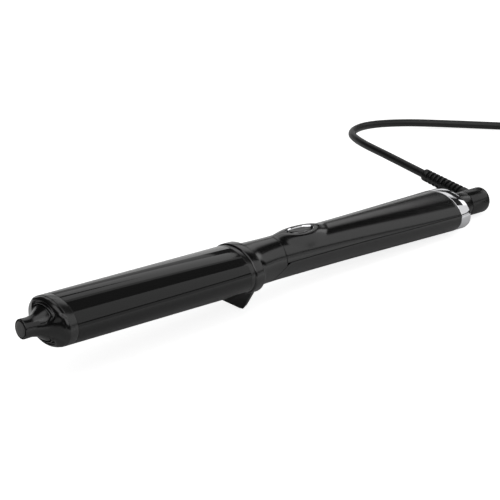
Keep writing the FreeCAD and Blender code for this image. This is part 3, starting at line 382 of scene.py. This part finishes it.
def woven_tape():
    """Hook-and-loop tape: a tight plain weave across and along the strap."""
    finish = Finish("tie_fabric", (0.02, 0.02, 0.022), roughness=0.85, ior=1.45)
    thread = 520.0
    weave = finish.bands(thread, "X") * finish.bands(thread, "Y") + 0.5 * finish.bands(thread, "Z")
    finish.color(weave, (0.008, 0.008, 0.009), (0.035, 0.035, 0.04))
    finish.relief(weave, depth=0.0002)
    return finish


def drawn_metal(name, color, roughness):
    """Metal with fine drawing marks along the wand."""
    finish = Finish(name, color, roughness, metallic=1.0)
    marks = finish.noise(900.0, detail=2.0, stretch=(0.06, 1, 1))
    finish.rough(roughness - 0.06 + 0.12 * marks)
    finish.relief(marks, depth=0.00001)
    return finish


def fired_ceramic():
    finish = Finish("ceramic", (0.8, 0.78, 0.74), roughness=0.5)
    grains = finish.noise(1500.0, detail=3.0)
    finish.color(grains, (0.72, 0.7, 0.66), (0.86, 0.85, 0.82))
    finish.relief(grains, depth=0.00002)
    return finish


def board_laminate():
    """Green lacquered glass laminate with the weave just showing."""
    finish = Finish("board_laminate", (0.02, 0.14, 0.06), roughness=0.35)
    weave = finish.bands(300.0, "X") * finish.bands(300.0, "Y")
    finish.color(weave, (0.012, 0.1, 0.04), (0.03, 0.19, 0.08))
    finish.relief(weave, depth=0.00004)
    return finish


def braided_sleeve():
    finish = Finish("lead_sleeve", (0.7, 0.68, 0.64), roughness=0.7)
    braid = finish.bands(700.0, "X", distortion=2.0)
    finish.color(braid, (0.5, 0.48, 0.45), (0.8, 0.78, 0.74))
    finish.relief(braid, depth=0.00008)
    return finish


MATERIALS = {finish.name: finish.material for finish in (
    # Moulded plastic: name, shade, roughness, refraction, scale and depth of its grain.
    moulded_plastic("nose_plastic", 0.0045, 0.2, 1.55, 2600.0, 0.000006),
    moulded_plastic("ring_plastic", 0.010, 0.22, 1.62, 3600.0, 0.00001),
    moulded_plastic("handle_plastic", 0.003, 0.19, 1.7, 3200.0, 0.000006),
    moulded_plastic("stand_plastic", 0.006, 0.4, 1.5, 3200.0, 0.000015),
    moulded_plastic("swivel_plastic", 0.004, 0.22, 1.6, 3200.0, 0.000006),
    moulded_plastic("button_plastic", 0.004, 0.1, 1.6, 2200.0, 0.000003),
    moulded_plastic("plug_plastic", 0.008, 0.45, 1.5, 2800.0, 0.00002),
    moulded_plastic("carrier_plastic", 0.05, 0.5, 1.5, 2000.0, 0.00002),
    # Rubber: name, shade, roughness. Metal: name, colour, roughness.
    soft_rubber("relief_rubber", 0.005, 0.4),
    soft_rubber("cord_sheath", 0.006, 0.42),
    drawn_metal("pin_metal", (0.72, 0.71, 0.68), 0.22),
    drawn_metal("steel", (0.55, 0.55, 0.57), 0.3),
    drawn_metal("brass", (0.7, 0.52, 0.24), 0.3),
    drawn_metal("aluminium", (0.74, 0.75, 0.77), 0.35),
    barrel_coating(),
    bright_plating(),
    woven_tape(),
    fired_ceramic(),
    board_laminate(),
    braided_sleeve(),
)}
SLOT_OF = {part["node"]: part["material_slot"] for part in frame["record"]["subparts"]}
BODY_OF = {node: body for body, members in frame["record"]["behaviour"]["bodies"].items()
           for node in members}
for node, holder in frame["nodes"].items():
    holder.data.materials.clear()
    holder.data.materials.append(MATERIALS[SLOT_OF[node]])


def fit(piece, node):
    """Tilts a piece to where the wand stands and lets it stand for a construction node."""
    only(piece)
    piece.matrix_world = TILT @ piece.matrix_world
    bpy.ops.object.transform_apply()
    piece.data.materials.clear()
    piece.data.materials.append(MATERIALS[SLOT_OF[node]])
    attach(piece, BODY_OF[node])
    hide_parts(node)


# ---------------------------------------------------------------- cool tip and nose
NOSE_END = extent("front_ring")[0].x
NOSE_COLUMNS = 240
NOSE_ROWS = 96
TIP_WALL = 0.0002
TIP_DEPTH = 0.0008
TIP_DISC_RADIUS = 0.0043
TIP_DISC_BACK = 0.0012
TIP_DISC_STEP = 0.0001
# Sine of the angle round the nose at which the groove begins, and at which it is full.
CRESCENT_EDGE = (0.44, 0.78)
# Along the nose's sides: station, half width, half height.
NOSE_SIDE = [
    (0.0000, 0.0051, 0.0051), (0.0002, 0.0053, 0.0053), (0.0005, 0.0054, 0.0054),
    (0.0009, 0.0054, 0.0054), (0.0045, 0.0054, 0.0053), (0.0082, 0.0062, 0.0058),
    (0.0112, 0.0083, 0.0070), (0.0136, 0.0124, 0.0088), (0.0155, 0.0163, 0.0108),
    (0.0162, 0.0172, 0.0114), (0.0164, 0.0177, 0.0118), (0.0176, 0.0188, 0.0126),
]
# Over its top and under its bottom: share of the rows, station, half height.
NOSE_LIP = [
    (0.000, 0.0000, 0.0051), (0.011, 0.0002, 0.0053), (0.028, 0.0005, 0.0054),
    (0.051, 0.0009, 0.0054), (0.250, 0.0045, 0.0053), (0.400, 0.0082, 0.0059),
    (0.500, 0.0112, 0.0076), (0.560, 0.0130, 0.0089), (0.580, 0.0134, 0.0092),
    (0.595, 0.0146, 0.0092), (0.610, 0.0147, 0.0095), (0.630, 0.0136, 0.0097),
    (0.655, 0.0135, 0.0101), (0.675, 0.0149, 0.0104), (0.700, 0.0151, 0.0108),
    (0.740, 0.0143, 0.0112), (0.820, 0.0150, 0.0120), (0.920, 0.0165, 0.0125),
    (1.000, 0.0176, 0.0126),
]


def nose_point(u, v):
    """Fishtail nose: smooth at its sides, a lip, groove and ridge above and below."""
    angle = 2 * math.pi * u
    side_y, side_z = eased(NOSE_SIDE, v * NOSE_END)
    lip_x, lip_z = eased(NOSE_LIP, v)
    weight = smooth_step(abs(math.sin(angle)), *CRESCENT_EDGE)
    lip_y = lip_z * (side_y / side_z)
    x = v * NOSE_END + weight * (lip_x - v * NOSE_END)
    half_y = side_y + weight * (lip_y - side_y)
    half_z = side_z + weight * (lip_z - side_z)
    return (x, half_y * math.cos(angle), half_z * math.sin(angle))


def build_nose():
    nose = drawn_sheet("nose", NOSE_COLUMNS, NOSE_ROWS, nose_point)
    close_ends(nose)
    sink_front(nose, TIP_WALL, TIP_DEPTH)
    smooth(nose, angle=50)
    fit(nose, "tip_nose")


def build_tip_disc():
    disc = oval_stack("tip_disc_cap", [
        (x, TIP_DISC_RADIUS * share, TIP_DISC_RADIUS * share)
        for x, share in ((TIP_DISC_BACK, 1), (-TIP_DISC_STEP, 1),
                         (-2 * TIP_DISC_STEP, 0.94), (-2 * TIP_DISC_STEP, 0.5))
    ], DISC_SIDES)
    smooth(disc, angle=50)
    fit(disc, "tip_disc")


build_nose()
build_tip_disc()

# ---------------------------------------------------------------- barrel, its rings and the collar
RING_WALL = 0.0012


def oval_ring(node, name, rim, shy=0.0, reach=0.0, slope=0.0):
    """Oval tube in the place of a construction node, with softened rims.

    It is lower than the node by shy, longer at its rear by reach, and its front slopes.
    """
    low, high = extent(node)
    high += Vector((reach, -shy, -shy))
    front = (low.x, high.y - slope, high.z - slope)
    crest = [(low.x + slope, high.y, high.z)] if slope else []
    inner_y, inner_z = high.y - RING_WALL, high.z - RING_WALL
    piece = oval_stack(name, [front, *crest, (high.x, high.y, high.z), (high.x, inner_y, inner_z),
                              (low.x, inner_y, inner_z), front], ring=True)
    soften(piece, rim, segments=3)
    smooth(piece)
    fit(piece, node)


oval_ring("front_ring", "front_ring_cover", rim=0.00025)
oval_ring("barrel", "barrel_tube", rim=0.00008)
oval_ring("rear_ring", "rear_ring_cover", rim=0.0001, reach=0.0002)
oval_ring("collar", "collar_cover", rim=0.00015, shy=0.0002, slope=0.0006)

# ---------------------------------------------------------------- neck and handle form
NECK_START = extent("collar")[1].x
HANDLE_START = 0.1665
# Station, half width, half height.
HANDLE_FORM = [
    (NECK_START, 0.01660, 0.01240), (0.1505, 0.01418, 0.01220), (HANDLE_START, 0.01270, 0.01220),
    (0.2066, 0.01371, 0.01202), (0.2675, 0.01743, 0.01172),
    (HANDLE_END, 0.01900, HANDLE_END_HALF_Z),
]
SHELL_WALL = 0.0018
SEAM = 0.00025
PARTING_FRONT_Z = 0.0010
PARTING_REAR_Z = 0.0027
KNEE_X = 0.1695
TOE_X = 0.1570
TOE_DEPTH = 0.0122
KNEE_BEND = 0.9
BUTTON_X = 0.1855
RIM_Z = 0.0133
DISH_HALF_LENGTH = 0.0097
DISH_HALF_WIDTH = 0.0055
CUTTER_DEPTH = 0.005
CUTTER_CLEAR = 0.004
POD_CROWN = 0.0006
POD_HALF_LENGTH = 0.0118
POD_HALF_WIDTH = 0.0070
POD_FADE = (0.92, 1.65)
# Rows of the upper shell lie close together round the button: share of the rows, station.
UPPER_START = HANDLE_START + SEAM / 2
UPPER_ROWS = [(0.0, UPPER_START), (0.02, UPPER_START + 0.0001), (0.62, BUTTON_X + 0.022),
              (1.0, HANDLE_END)]


def parting_height(x):
    """Height of the line between the two shells: it rises from the neck to the end."""
    rise = (PARTING_REAR_Z - PARTING_FRONT_Z) * max(x - HANDLE_START, 0.0)
    return PARTING_FRONT_Z + rise / (HANDLE_END - HANDLE_START)


def shell_front(z):
    """Where the lower shell begins at a height: it curves forward towards its bottom."""
    drop = held((PARTING_FRONT_Z - z) / (PARTING_FRONT_Z + TOE_DEPTH))
    return KNEE_X - (KNEE_X - TOE_X) * math.sin(drop * math.pi / 2) ** KNEE_BEND


def handle_height(x, y):
    """Height of the plain handle's top over the wand's axis."""
    half_y, half_z = eased(HANDLE_FORM, x)
    return half_z * math.sqrt(max(1 - (y / half_y) ** 2, 0.0))


def pod_lift(x, y):
    """How far the swell round the button stands over the handle: slightly crowned on top."""
    out = math.hypot((x - BUTTON_X) / POD_HALF_LENGTH, y / POD_HALF_WIDTH)
    crown = RIM_Z - POD_CROWN * (y / DISH_HALF_WIDTH) ** 2
    return max(crown - handle_height(x, y), 0.0) * (1.0 - smooth_step(out, *POD_FADE))


def handle_point(x, angle):
    half_y, half_z = eased(HANDLE_FORM, x)
    return Vector((x, half_y * math.cos(angle), half_z * math.sin(angle)))


def seam_angle(x, shift):
    """Angle on the oval where the parting line runs, shifted by part of the seam."""
    return math.asin((parting_height(x) + shift) / eased(HANDLE_FORM, x)[1])


def upper_point(u, v):
    x = eased(UPPER_ROWS, v)[0]
    start = seam_angle(x, SEAM / 2)
    place = handle_point(x, start + u * (math.pi - 2 * start))
    if place.z > 0:
        place.z += pod_lift(x, place.y)
    return place


def lower_point(u, v):
    """The front edge depends on the height that it gives, so the place is found in rounds."""
    z = PARTING_FRONT_Z
    for _ in range(3):
        x = shell_front(z) + v * (HANDLE_END - shell_front(z))
        start = math.pi - seam_angle(x, -SEAM / 2)
        angle = start + u * (2 * math.pi + seam_angle(x, -SEAM / 2) - start)
        place = handle_point(x, angle)
        z = min(place.z, PARTING_FRONT_Z)
    return place


def cowl_point(u, v):
    angle = 2 * math.pi * u
    z = eased(HANDLE_FORM, HANDLE_START)[1] * math.sin(angle)
    end = min(HANDLE_START - SEAM / 2, shell_front(z) - SEAM)
    return handle_point(NECK_START + v * (end - NECK_START), angle)


def upright_oval(name, sections, ring=False):
    """Oval body drawn upwards at the button through (z, half_length, half_width) ovals."""
    turned = [(z, half_width, half_length) for z, half_length, half_width in sections]
    piece = oval_stack(name, turned, ROUND_SIDES, ring)
    only(piece)
    piece.matrix_world = (Matrix.Translation((BUTTON_X, 0, 0))
                          @ Matrix.Rotation(-math.pi / 2, 4, "Y"))
    bpy.ops.object.transform_apply()
    return piece


def cut_dish(piece):
    """Opens the swell for the bright ring and the button."""
    cutter = upright_oval("dish_cutter", [
        (z, DISH_HALF_LENGTH, DISH_HALF_WIDTH)
        for z in (RIM_Z - CUTTER_DEPTH, RIM_Z + CUTTER_CLEAR)])
    modify(piece, "BOOLEAN", operation="DIFFERENCE", object=cutter, solver="EXACT")
    bpy.data.objects.remove(cutter)


def build_shell(node, name, shape, columns, rows, edge, opening=None):
    """Cover drawn as a sheet, given its wall inwards, opened and softened at its edges."""
    piece = drawn_sheet(name, columns, rows, shape)
    face_out(piece)
    modify(piece, "SOLIDIFY", thickness=SHELL_WALL, offset=-1.0)
    if opening:
        opening(piece)
    soften(piece, edge, angle=60)
    smooth(piece)
    fit(piece, node)


build_shell("neck_cowl", "neck", cowl_point, columns=160, rows=40, edge=0.0002)
build_shell("handle_upper_shell", "upper_shell", upper_point, columns=110, rows=170, edge=0.0003,
            opening=cut_dish)
build_shell("handle_lower_shell", "lower_shell", lower_point, columns=110, rows=120, edge=0.0005)

# ---------------------------------------------------------------- bright ring and button
BEZEL_GAP = 0.00018
BEZEL_RIM = 0.00015
BEZEL_WALL = 0.00095
BEZEL_DEPTH = 0.0029
BEZEL_FLAT_DEPTH = 0.0015
BEZEL_SHY = 0.0002
BEZEL_EDGE = 0.00008
BUTTON_CLEARANCE = 0.00025
BUTTON_SINK = 0.0011
BUTTON_SKIRT = 0.0011
BUTTON_EDGE = 0.0009
BUTTON_DIMPLE = 0.00045
DIMPLE_RINGS = 10


def drape(piece, flat_z, proud):
    """Lets the part of a piece over a height follow the swell around it."""
    for vertex in piece.data.vertices:
        x, y, z = vertex.co
        if z > flat_z:
            vertex.co.z = handle_height(x, y) + pod_lift(x, y) + proud + (z - RIM_Z)


def build_bezel():
    """Bright lining of the dish: a thin rim, then a slope down to the button."""
    outer = (DISH_HALF_LENGTH - BEZEL_GAP, DISH_HALF_WIDTH - BEZEL_GAP)
    rim = [size - BEZEL_RIM for size in outer]
    inner = [size - BEZEL_WALL for size in outer]
    bottom = RIM_Z - BEZEL_DEPTH
    slope_foot = RIM_Z - (BEZEL_WALL - BEZEL_RIM)
    bezel = upright_oval("button_ring", [
        (bottom, *outer), (RIM_Z, *outer), (RIM_Z, *rim), (slope_foot, *inner), (bottom, *inner),
        (bottom, *outer)], ring=True)
    drape(bezel, RIM_Z - BEZEL_FLAT_DEPTH, -BEZEL_SHY)
    soften(bezel, BEZEL_EDGE)
    smooth(bezel)
    fit(bezel, "button_bezel")
    return inner


def build_button(opening):
    """Glossy push button: rounded edge and a shallow thumb dimple."""
    half_length, half_width = (size - BUTTON_CLEARANCE for size in opening)
    top = RIM_Z - BUTTON_SINK
    sections = [(top - BUTTON_SKIRT, half_length, half_width),
                (top - BUTTON_EDGE, half_length, half_width)]
    for drop, inset in quarter_round(BUTTON_EDGE, parts=6):
        sections.append((top - drop, half_length - inset, half_width - inset))
    flat_length, flat_width = half_length - BUTTON_EDGE, half_width - BUTTON_EDGE
    for step in range(DIMPLE_RINGS - 1, 0, -1):
        share = step / DIMPLE_RINGS
        sink = BUTTON_DIMPLE * (1 - share ** 2) ** 1.5
        sections.append((top - sink, flat_length * share, flat_width * share))
    button = upright_oval("button_cap", sections)
    smooth(button, angle=50)
    fit(button, "power_button")


build_button(build_bezel())

# ---------------------------------------------------------------- band, socket and turning cap
BAND_EDGE = 0.0003
SWIVEL_EDGE = 0.0002
SOCKET_TUCK = 0.002
SWIVEL_GAP = 0.0003
CAP_ROUND = 0.0036


def build_band():
    low, high = extent("chrome_band")
    band = oval_stack("end_band", [(low.x, high.y, high.z), (high.x, high.y, high.z)])
    soften(band, BAND_EDGE, segments=3)
    smooth(band)
    fit(band, "chrome_band")


def build_socket():
    """Round neck that starts inside the band."""
    start = extent("chrome_band")[1].x - SOCKET_TUCK
    end = extent("swivel_socket")[1].x
    radius = extent("swivel_cap")[1].z
    neck = oval_stack("socket_neck", [(start, radius, radius), (end, radius, radius)], ROUND_SIDES)
    soften(neck, SWIVEL_EDGE)
    smooth(neck)
    fit(neck, "swivel_socket")


def build_cap():
    """Turning cap with a rounded end."""
    start = extent("swivel_socket")[1].x + SWIVEL_GAP
    end, _, radius = extent("swivel_cap")[1]
    sections = [(start, radius, radius), (end - CAP_ROUND, radius, radius)]
    for drop, inset in quarter_round(CAP_ROUND, parts=9):
        sections.append((end - drop, radius - inset, radius - inset))
    cap = oval_stack("swivel_cap_shell", sections, ROUND_SIDES)
    soften(cap, SWIVEL_EDGE, angle=60)
    smooth(cap)
    fit(cap, "swivel_cap")


build_band()
build_socket()
build_cap()

# ---------------------------------------------------------------- strain relief
CORD_DIAMETER = 0.005
RELIEF_X = 0.32705
RELIEF_ROOT_Y = 0.0055
RELIEF_END_Y = 0.0440
RELIEF_RISE = math.radians(5)
RELIEF_ROOT_RADIUS = 0.0044
RELIEF_TIP_RADIUS = 0.0038
RELIEF_END_ROUND = 0.0006
RELIEF_CORE = CORD_DIAMETER / 2 + 0.0002
RELIEF_SPINE = 0.0019
RELIEF_SPINE_FADE = 0.0002
RELIEF_SLOTS = 9
RELIEF_FIRST_SLOT = 0.0120
RELIEF_PITCH = 0.0033
RELIEF_SLOT_WIDTH = 0.0017
RELIEF_SLOT_LIP = 0.0003
RELIEF_NECK_Y = 0.0085
RELIEF_LEAD_IN = 0.0012
RELIEF_COLUMNS = 120


def relief_rows():
    """Stations along the relief, and how far a slot is open at each."""
    lip = RELIEF_SLOT_LIP
    rows = [(RELIEF_ROOT_Y, 0.0), (RELIEF_NECK_Y, 0.0),
            (RELIEF_FIRST_SLOT - RELIEF_LEAD_IN, 0.0)]
    for slot in range(RELIEF_SLOTS):
        start = RELIEF_FIRST_SLOT + slot * RELIEF_PITCH
        end = start + RELIEF_SLOT_WIDTH
        rows += [(start - lip, 0.0), (start - lip / 3, 0.12), (start, 0.5), (start + lip / 2, 1.0),
                 (end - lip / 2, 1.0), (end, 0.5), (end + lip / 3, 0.12), (end + lip, 0.0)]
    return rows + [(RELIEF_END_Y - back, 0.0) for back in (0.0010, 0.0004, 0.0001, 0.0)]


RELIEF_ROWS = relief_rows()


def relief_point(u, v):
    """Tapering tube with slots above and below that leave a spine at each side."""
    y, depth = RELIEF_ROWS[round(v * (len(RELIEF_ROWS) - 1))]
    angle = 2 * math.pi * u
    along = (y - RELIEF_ROOT_Y) / (RELIEF_END_Y - RELIEF_ROOT_Y)
    radius = RELIEF_ROOT_RADIUS + along * (RELIEF_TIP_RADIUS - RELIEF_ROOT_RADIUS)
    past = held((y - RELIEF_END_Y + RELIEF_END_ROUND) / RELIEF_END_ROUND)
    radius -= RELIEF_END_ROUND * (1 - math.sqrt(1 - past * past))
    clear = smooth_step(abs(radius * math.sin(angle)), RELIEF_SPINE / 2 - RELIEF_SPINE_FADE,
                        RELIEF_SPINE / 2 + RELIEF_SPINE_FADE)
    radius += depth * clear * (RELIEF_CORE - radius)
    return (radius * math.cos(angle), y, radius * math.sin(angle))


def build_relief():
    relief = drawn_sheet("ribbed_relief", RELIEF_COLUMNS, len(RELIEF_ROWS) - 1, relief_point)
    close_ends(relief)
    smooth(relief, angle=40)
    relief.matrix_world = (Matrix.Translation((RELIEF_X, 0, 0))
                           @ Matrix.Rotation(RELIEF_RISE, 4, "X"))
    fit(relief, "strain_relief")


build_relief()


# ---------------------------------------------------------------- stand, tie and plug
def refined(node, name, width, segments=3):
    """Copy of a construction node with softened edges."""
    piece = turned_copy(node, name)
    soften(piece, width, segments, angle=30)
    smooth(piece, angle=40)
    fit(piece, node)


refined("safety_stand", "stand_wedge", 0.0004)
refined("plug_body", "plug_housing", 0.0006)
refined("coil_tie", "tie_strap", 0.0002, 2)

# ---------------------------------------------------------------- cord, on the model's route
CORD_EXIT = (0.184477, 0.043833, 0.01277)
CORD_RUN = [
    (0.18473, 0.0777, 0.01572),
    (0.1886, 0.1080, 0.0152),
    (0.2005, 0.1310, 0.0120),
    (0.2240, 0.1420, 0.0080),
    (0.2505, 0.1335, 0.0050),
    (0.2740, 0.1130, 0.0032),
    (0.2943, 0.0900, 0.0026),
    (0.3113, 0.0680, 0.0028),
    (0.3253, 0.0450, 0.0032),
]
CORD_TAIL = [
    (0.3318, -0.0020, 0.0162),
    (0.3213, -0.0240, 0.0112),
    (0.3013, -0.0375, 0.00685),
    (0.2783, -0.0375, 0.00685),
]
COIL_CENTRE = (0.2973, 0.020)
COIL_TURNS = (0.035, 0.030, 0.025)
COIL_LAYERS = 4
COIL_FLOOR = 0.0033
TURN_POINTS = 16
# Share of a turn after which the cord begins to cross to the next one.
TURN_CROSSING = 0.6


def coil_points():
    """Control points of the wound turns, layer on layer, clockwise seen from above."""
    radii = []
    for layer in range(COIL_LAYERS):
        radii += COIL_TURNS if layer % 2 == 0 else COIL_TURNS[::-1]
    points = []
    for step in range(len(radii) * TURN_POINTS + 1):
        turn, part = divmod(step, TURN_POINTS)
        turn = min(turn, len(radii) - 1)
        following = min(turn + 1, len(radii) - 1)
        crossing = max(0.0, (part - TURN_CROSSING * TURN_POINTS)
                       / ((1 - TURN_CROSSING) * TURN_POINTS))
        radius = radii[turn] + crossing * (radii[following] - radii[turn])
        layer = turn // len(COIL_TURNS)
        level = layer + crossing * (following // len(COIL_TURNS) - layer)
        angle = -2 * math.pi * step / TURN_POINTS
        points.append((COIL_CENTRE[0] + radius * math.cos(angle),
                       COIL_CENTRE[1] + radius * math.sin(angle),
                       COIL_FLOOR + CORD_DIAMETER * level))
    return points


def build_cord():
    curve = bpy.data.curves.new("cord", "CURVE")
    curve.dimensions = "3D"
    curve.bevel_depth = CORD_DIAMETER / 2
    curve.bevel_resolution = 5
    curve.resolution_u = 6
    curve.use_fill_caps = True
    points = [CORD_EXIT] + CORD_RUN + coil_points() + CORD_TAIL
    spline = curve.splines.new("NURBS")
    spline.points.add(len(points) - 1)
    for knot, place in zip(spline.points, points):
        knot.co = (*place, 1.0)
    spline.order_u = 3
    spline.use_endpoint_u = True
    curve.materials.append(MATERIALS["cord_sheath"])
    cord = bpy.data.objects.new("cord", curve)
    bpy.context.scene.collection.objects.link(cord)
    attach(cord, "swivel")
    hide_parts("cord_run", "cord_coil", "cord_tail")


build_cord()

# ---------------------------------------------------------------- floor
FLOOR_SIZE = 6
FLOOR_SHADE = 0.6
FLOOR_GLOW = 0.84
FLOOR_SHEEN = 0.38
SHADE_REACH = 0.12

bpy.ops.mesh.primitive_plane_add(size=FLOOR_SIZE)
floor = bpy.context.object
floor.name = "floor"


def floor_finish():
    """Pale floor: white to the camera with a soft shadow, grey where gloss mirrors it.

    What gloss mirrors carries a painted shadow: its glow grows darker towards the wand, where a
    real one shades the floor.
    """
    finish = Finish("floor_paper", grey(FLOOR_SHADE), roughness=0.9)
    place = finish.node("ShaderNodeSeparateXYZ", {"Vector": finish.place})
    across = Reading(finish, place.outputs["Y"])
    away = across * across
    # Painted shadow: the floor's glow for gloss fades out near the wand's line.
    outside_painted_shadow = away / (away + SHADE_REACH ** 2)
    paths = finish.node("ShaderNodeLightPath", {}).outputs
    seen, gloss, clear = (Reading(finish, paths[path])
                          for path in ("Is Camera Ray", "Is Glossy Ray", "Is Transmission Ray"))
    glow = seen * FLOOR_GLOW + (gloss + clear) * FLOOR_SHEEN * outside_painted_shadow
    finish.feed(finish.shader.inputs["Emission Color"], finish.blend(glow, (0, 0, 0), (1, 1, 1)))
    finish.shader.inputs["Emission Strength"].default_value = 1.0
    return finish


floor.data.materials.append(floor_finish().material)

# ---------------------------------------------------------------- room and lamps
ROOM_GLOW = 0.02
LAMP_HEIGHT = 1.0
TOP_LAMP_HEIGHT = 2.4

world = bpy.data.worlds.new("studio")
bpy.context.scene.world = world
world.use_nodes = True
room = world.node_tree.nodes["Background"]
room.inputs["Color"].default_value = (1, 1, 1, 1)
camera_path = world.node_tree.nodes.new("ShaderNodeLightPath")
room_strength = world.node_tree.nodes.new("ShaderNodeMath")
room_strength.operation = "MAXIMUM"
room_strength.inputs[1].default_value = ROOM_GLOW
world.node_tree.links.new(camera_path.outputs["Is Camera Ray"], room_strength.inputs[0])
world.node_tree.links.new(room_strength.outputs[0], room.inputs["Strength"])


def softbox(name, x_range, y_range, height, radiance, turn=0.0):
    """Level lamp over the table, turned about the vertical through its middle."""
    lamp = bpy.data.lights.new(name, "AREA")
    lamp.shape = "RECTANGLE"
    lamp.size = x_range[1] - x_range[0]
    lamp.size_y = y_range[1] - y_range[0]
    lamp.energy = math.pi * lamp.size * lamp.size_y * radiance
    box = bpy.data.objects.new(name, lamp)
    bpy.context.scene.collection.objects.link(box)
    box.location = (sum(x_range) / 2, sum(y_range) / 2, height)
    box.rotation_euler.z = turn
    return box


def wall_lamp(name, x_range, y, height, radiance, lean):
    """Lamp that stands upright on the table."""
    wall = softbox(name, x_range, (0.0, height), height / 2, radiance)
    wall.location.y = y
    wall.rotation_euler.x = lean


# Name, x range, y range, height, radiance and turn. The near lamps light the side that faces
# the camera, as bands along the wand.
softbox("near_lamp", (-1.8, 3.2), (-2.5, -0.24), LAMP_HEIGHT, 0.75)
softbox("near_lamp_end", (1.38, 3.2), (-0.24, 0.34), LAMP_HEIGHT, 1.4)
softbox("front_lamp", (-1.9, -0.65), (-1.3, -0.1), LAMP_HEIGHT - 0.01, 0.8)
softbox("top_lamp", (-1.6, 0.7), (-1.2, 1.2), TOP_LAMP_HEIGHT, 1.2)
# The far lamps end along a slant: they light the barrel and leave the handle's top dark.
softbox("far_lamp_fringe", (0.3, 1.42), (0.46, 0.62), LAMP_HEIGHT, 0.42)
softbox("far_lamp", (0.3, 1.40), (0.62, 1.0), LAMP_HEIGHT, 0.85)
softbox("far_lamp_middle", (0.613, 1.813), (0.947, 2.115), LAMP_HEIGHT, 0.85, -0.540)
softbox("far_lamp_end", (2.006, 3.406), (1.714, 6.294), LAMP_HEIGHT, 0.35, -0.631)
softbox("band_lamp", (2.75, 3.35), (0.62, 2.62), LAMP_HEIGHT, 0.8, -0.664)
# Name, x range, y, height, radiance and lean.
wall_lamp("side_lamp", (0.2, 4.0), -2.6, 0.7, 0.55, math.pi / 2)
wall_lamp("back_lamp", (0.5, 9.0), 6.0, 1.1, 0.8, -math.pi / 2)

# ---------------------------------------------------------------- camera
# The view is set against the wand itself, before it is tilted.
VIEW_FROM = (-0.4935, -0.7557, 0.4021)
VIEW_RIGHT = (0.7691, -0.6384, 0.0310)
VIEW_BACK = (-0.6025, -0.7079, 0.3686)

camera_data = bpy.data.cameras.new("camera")
camera_data.sensor_width = 36
camera_data.lens = 140.4
camera_data.clip_start = 0.05
camera = bpy.data.objects.new("camera", camera_data)
bpy.context.scene.collection.objects.link(camera)
back = Vector(VIEW_BACK).normalized()
above = back.cross(Vector(VIEW_RIGHT)).normalized()
view_turn = Matrix((above.cross(back), above, back)).transposed().to_4x4()
camera.matrix_world = TILT @ Matrix.Translation(VIEW_FROM) @ view_turn
bpy.context.scene.camera = camera
bpy.context.scene.view_settings.view_transform = "Standard"
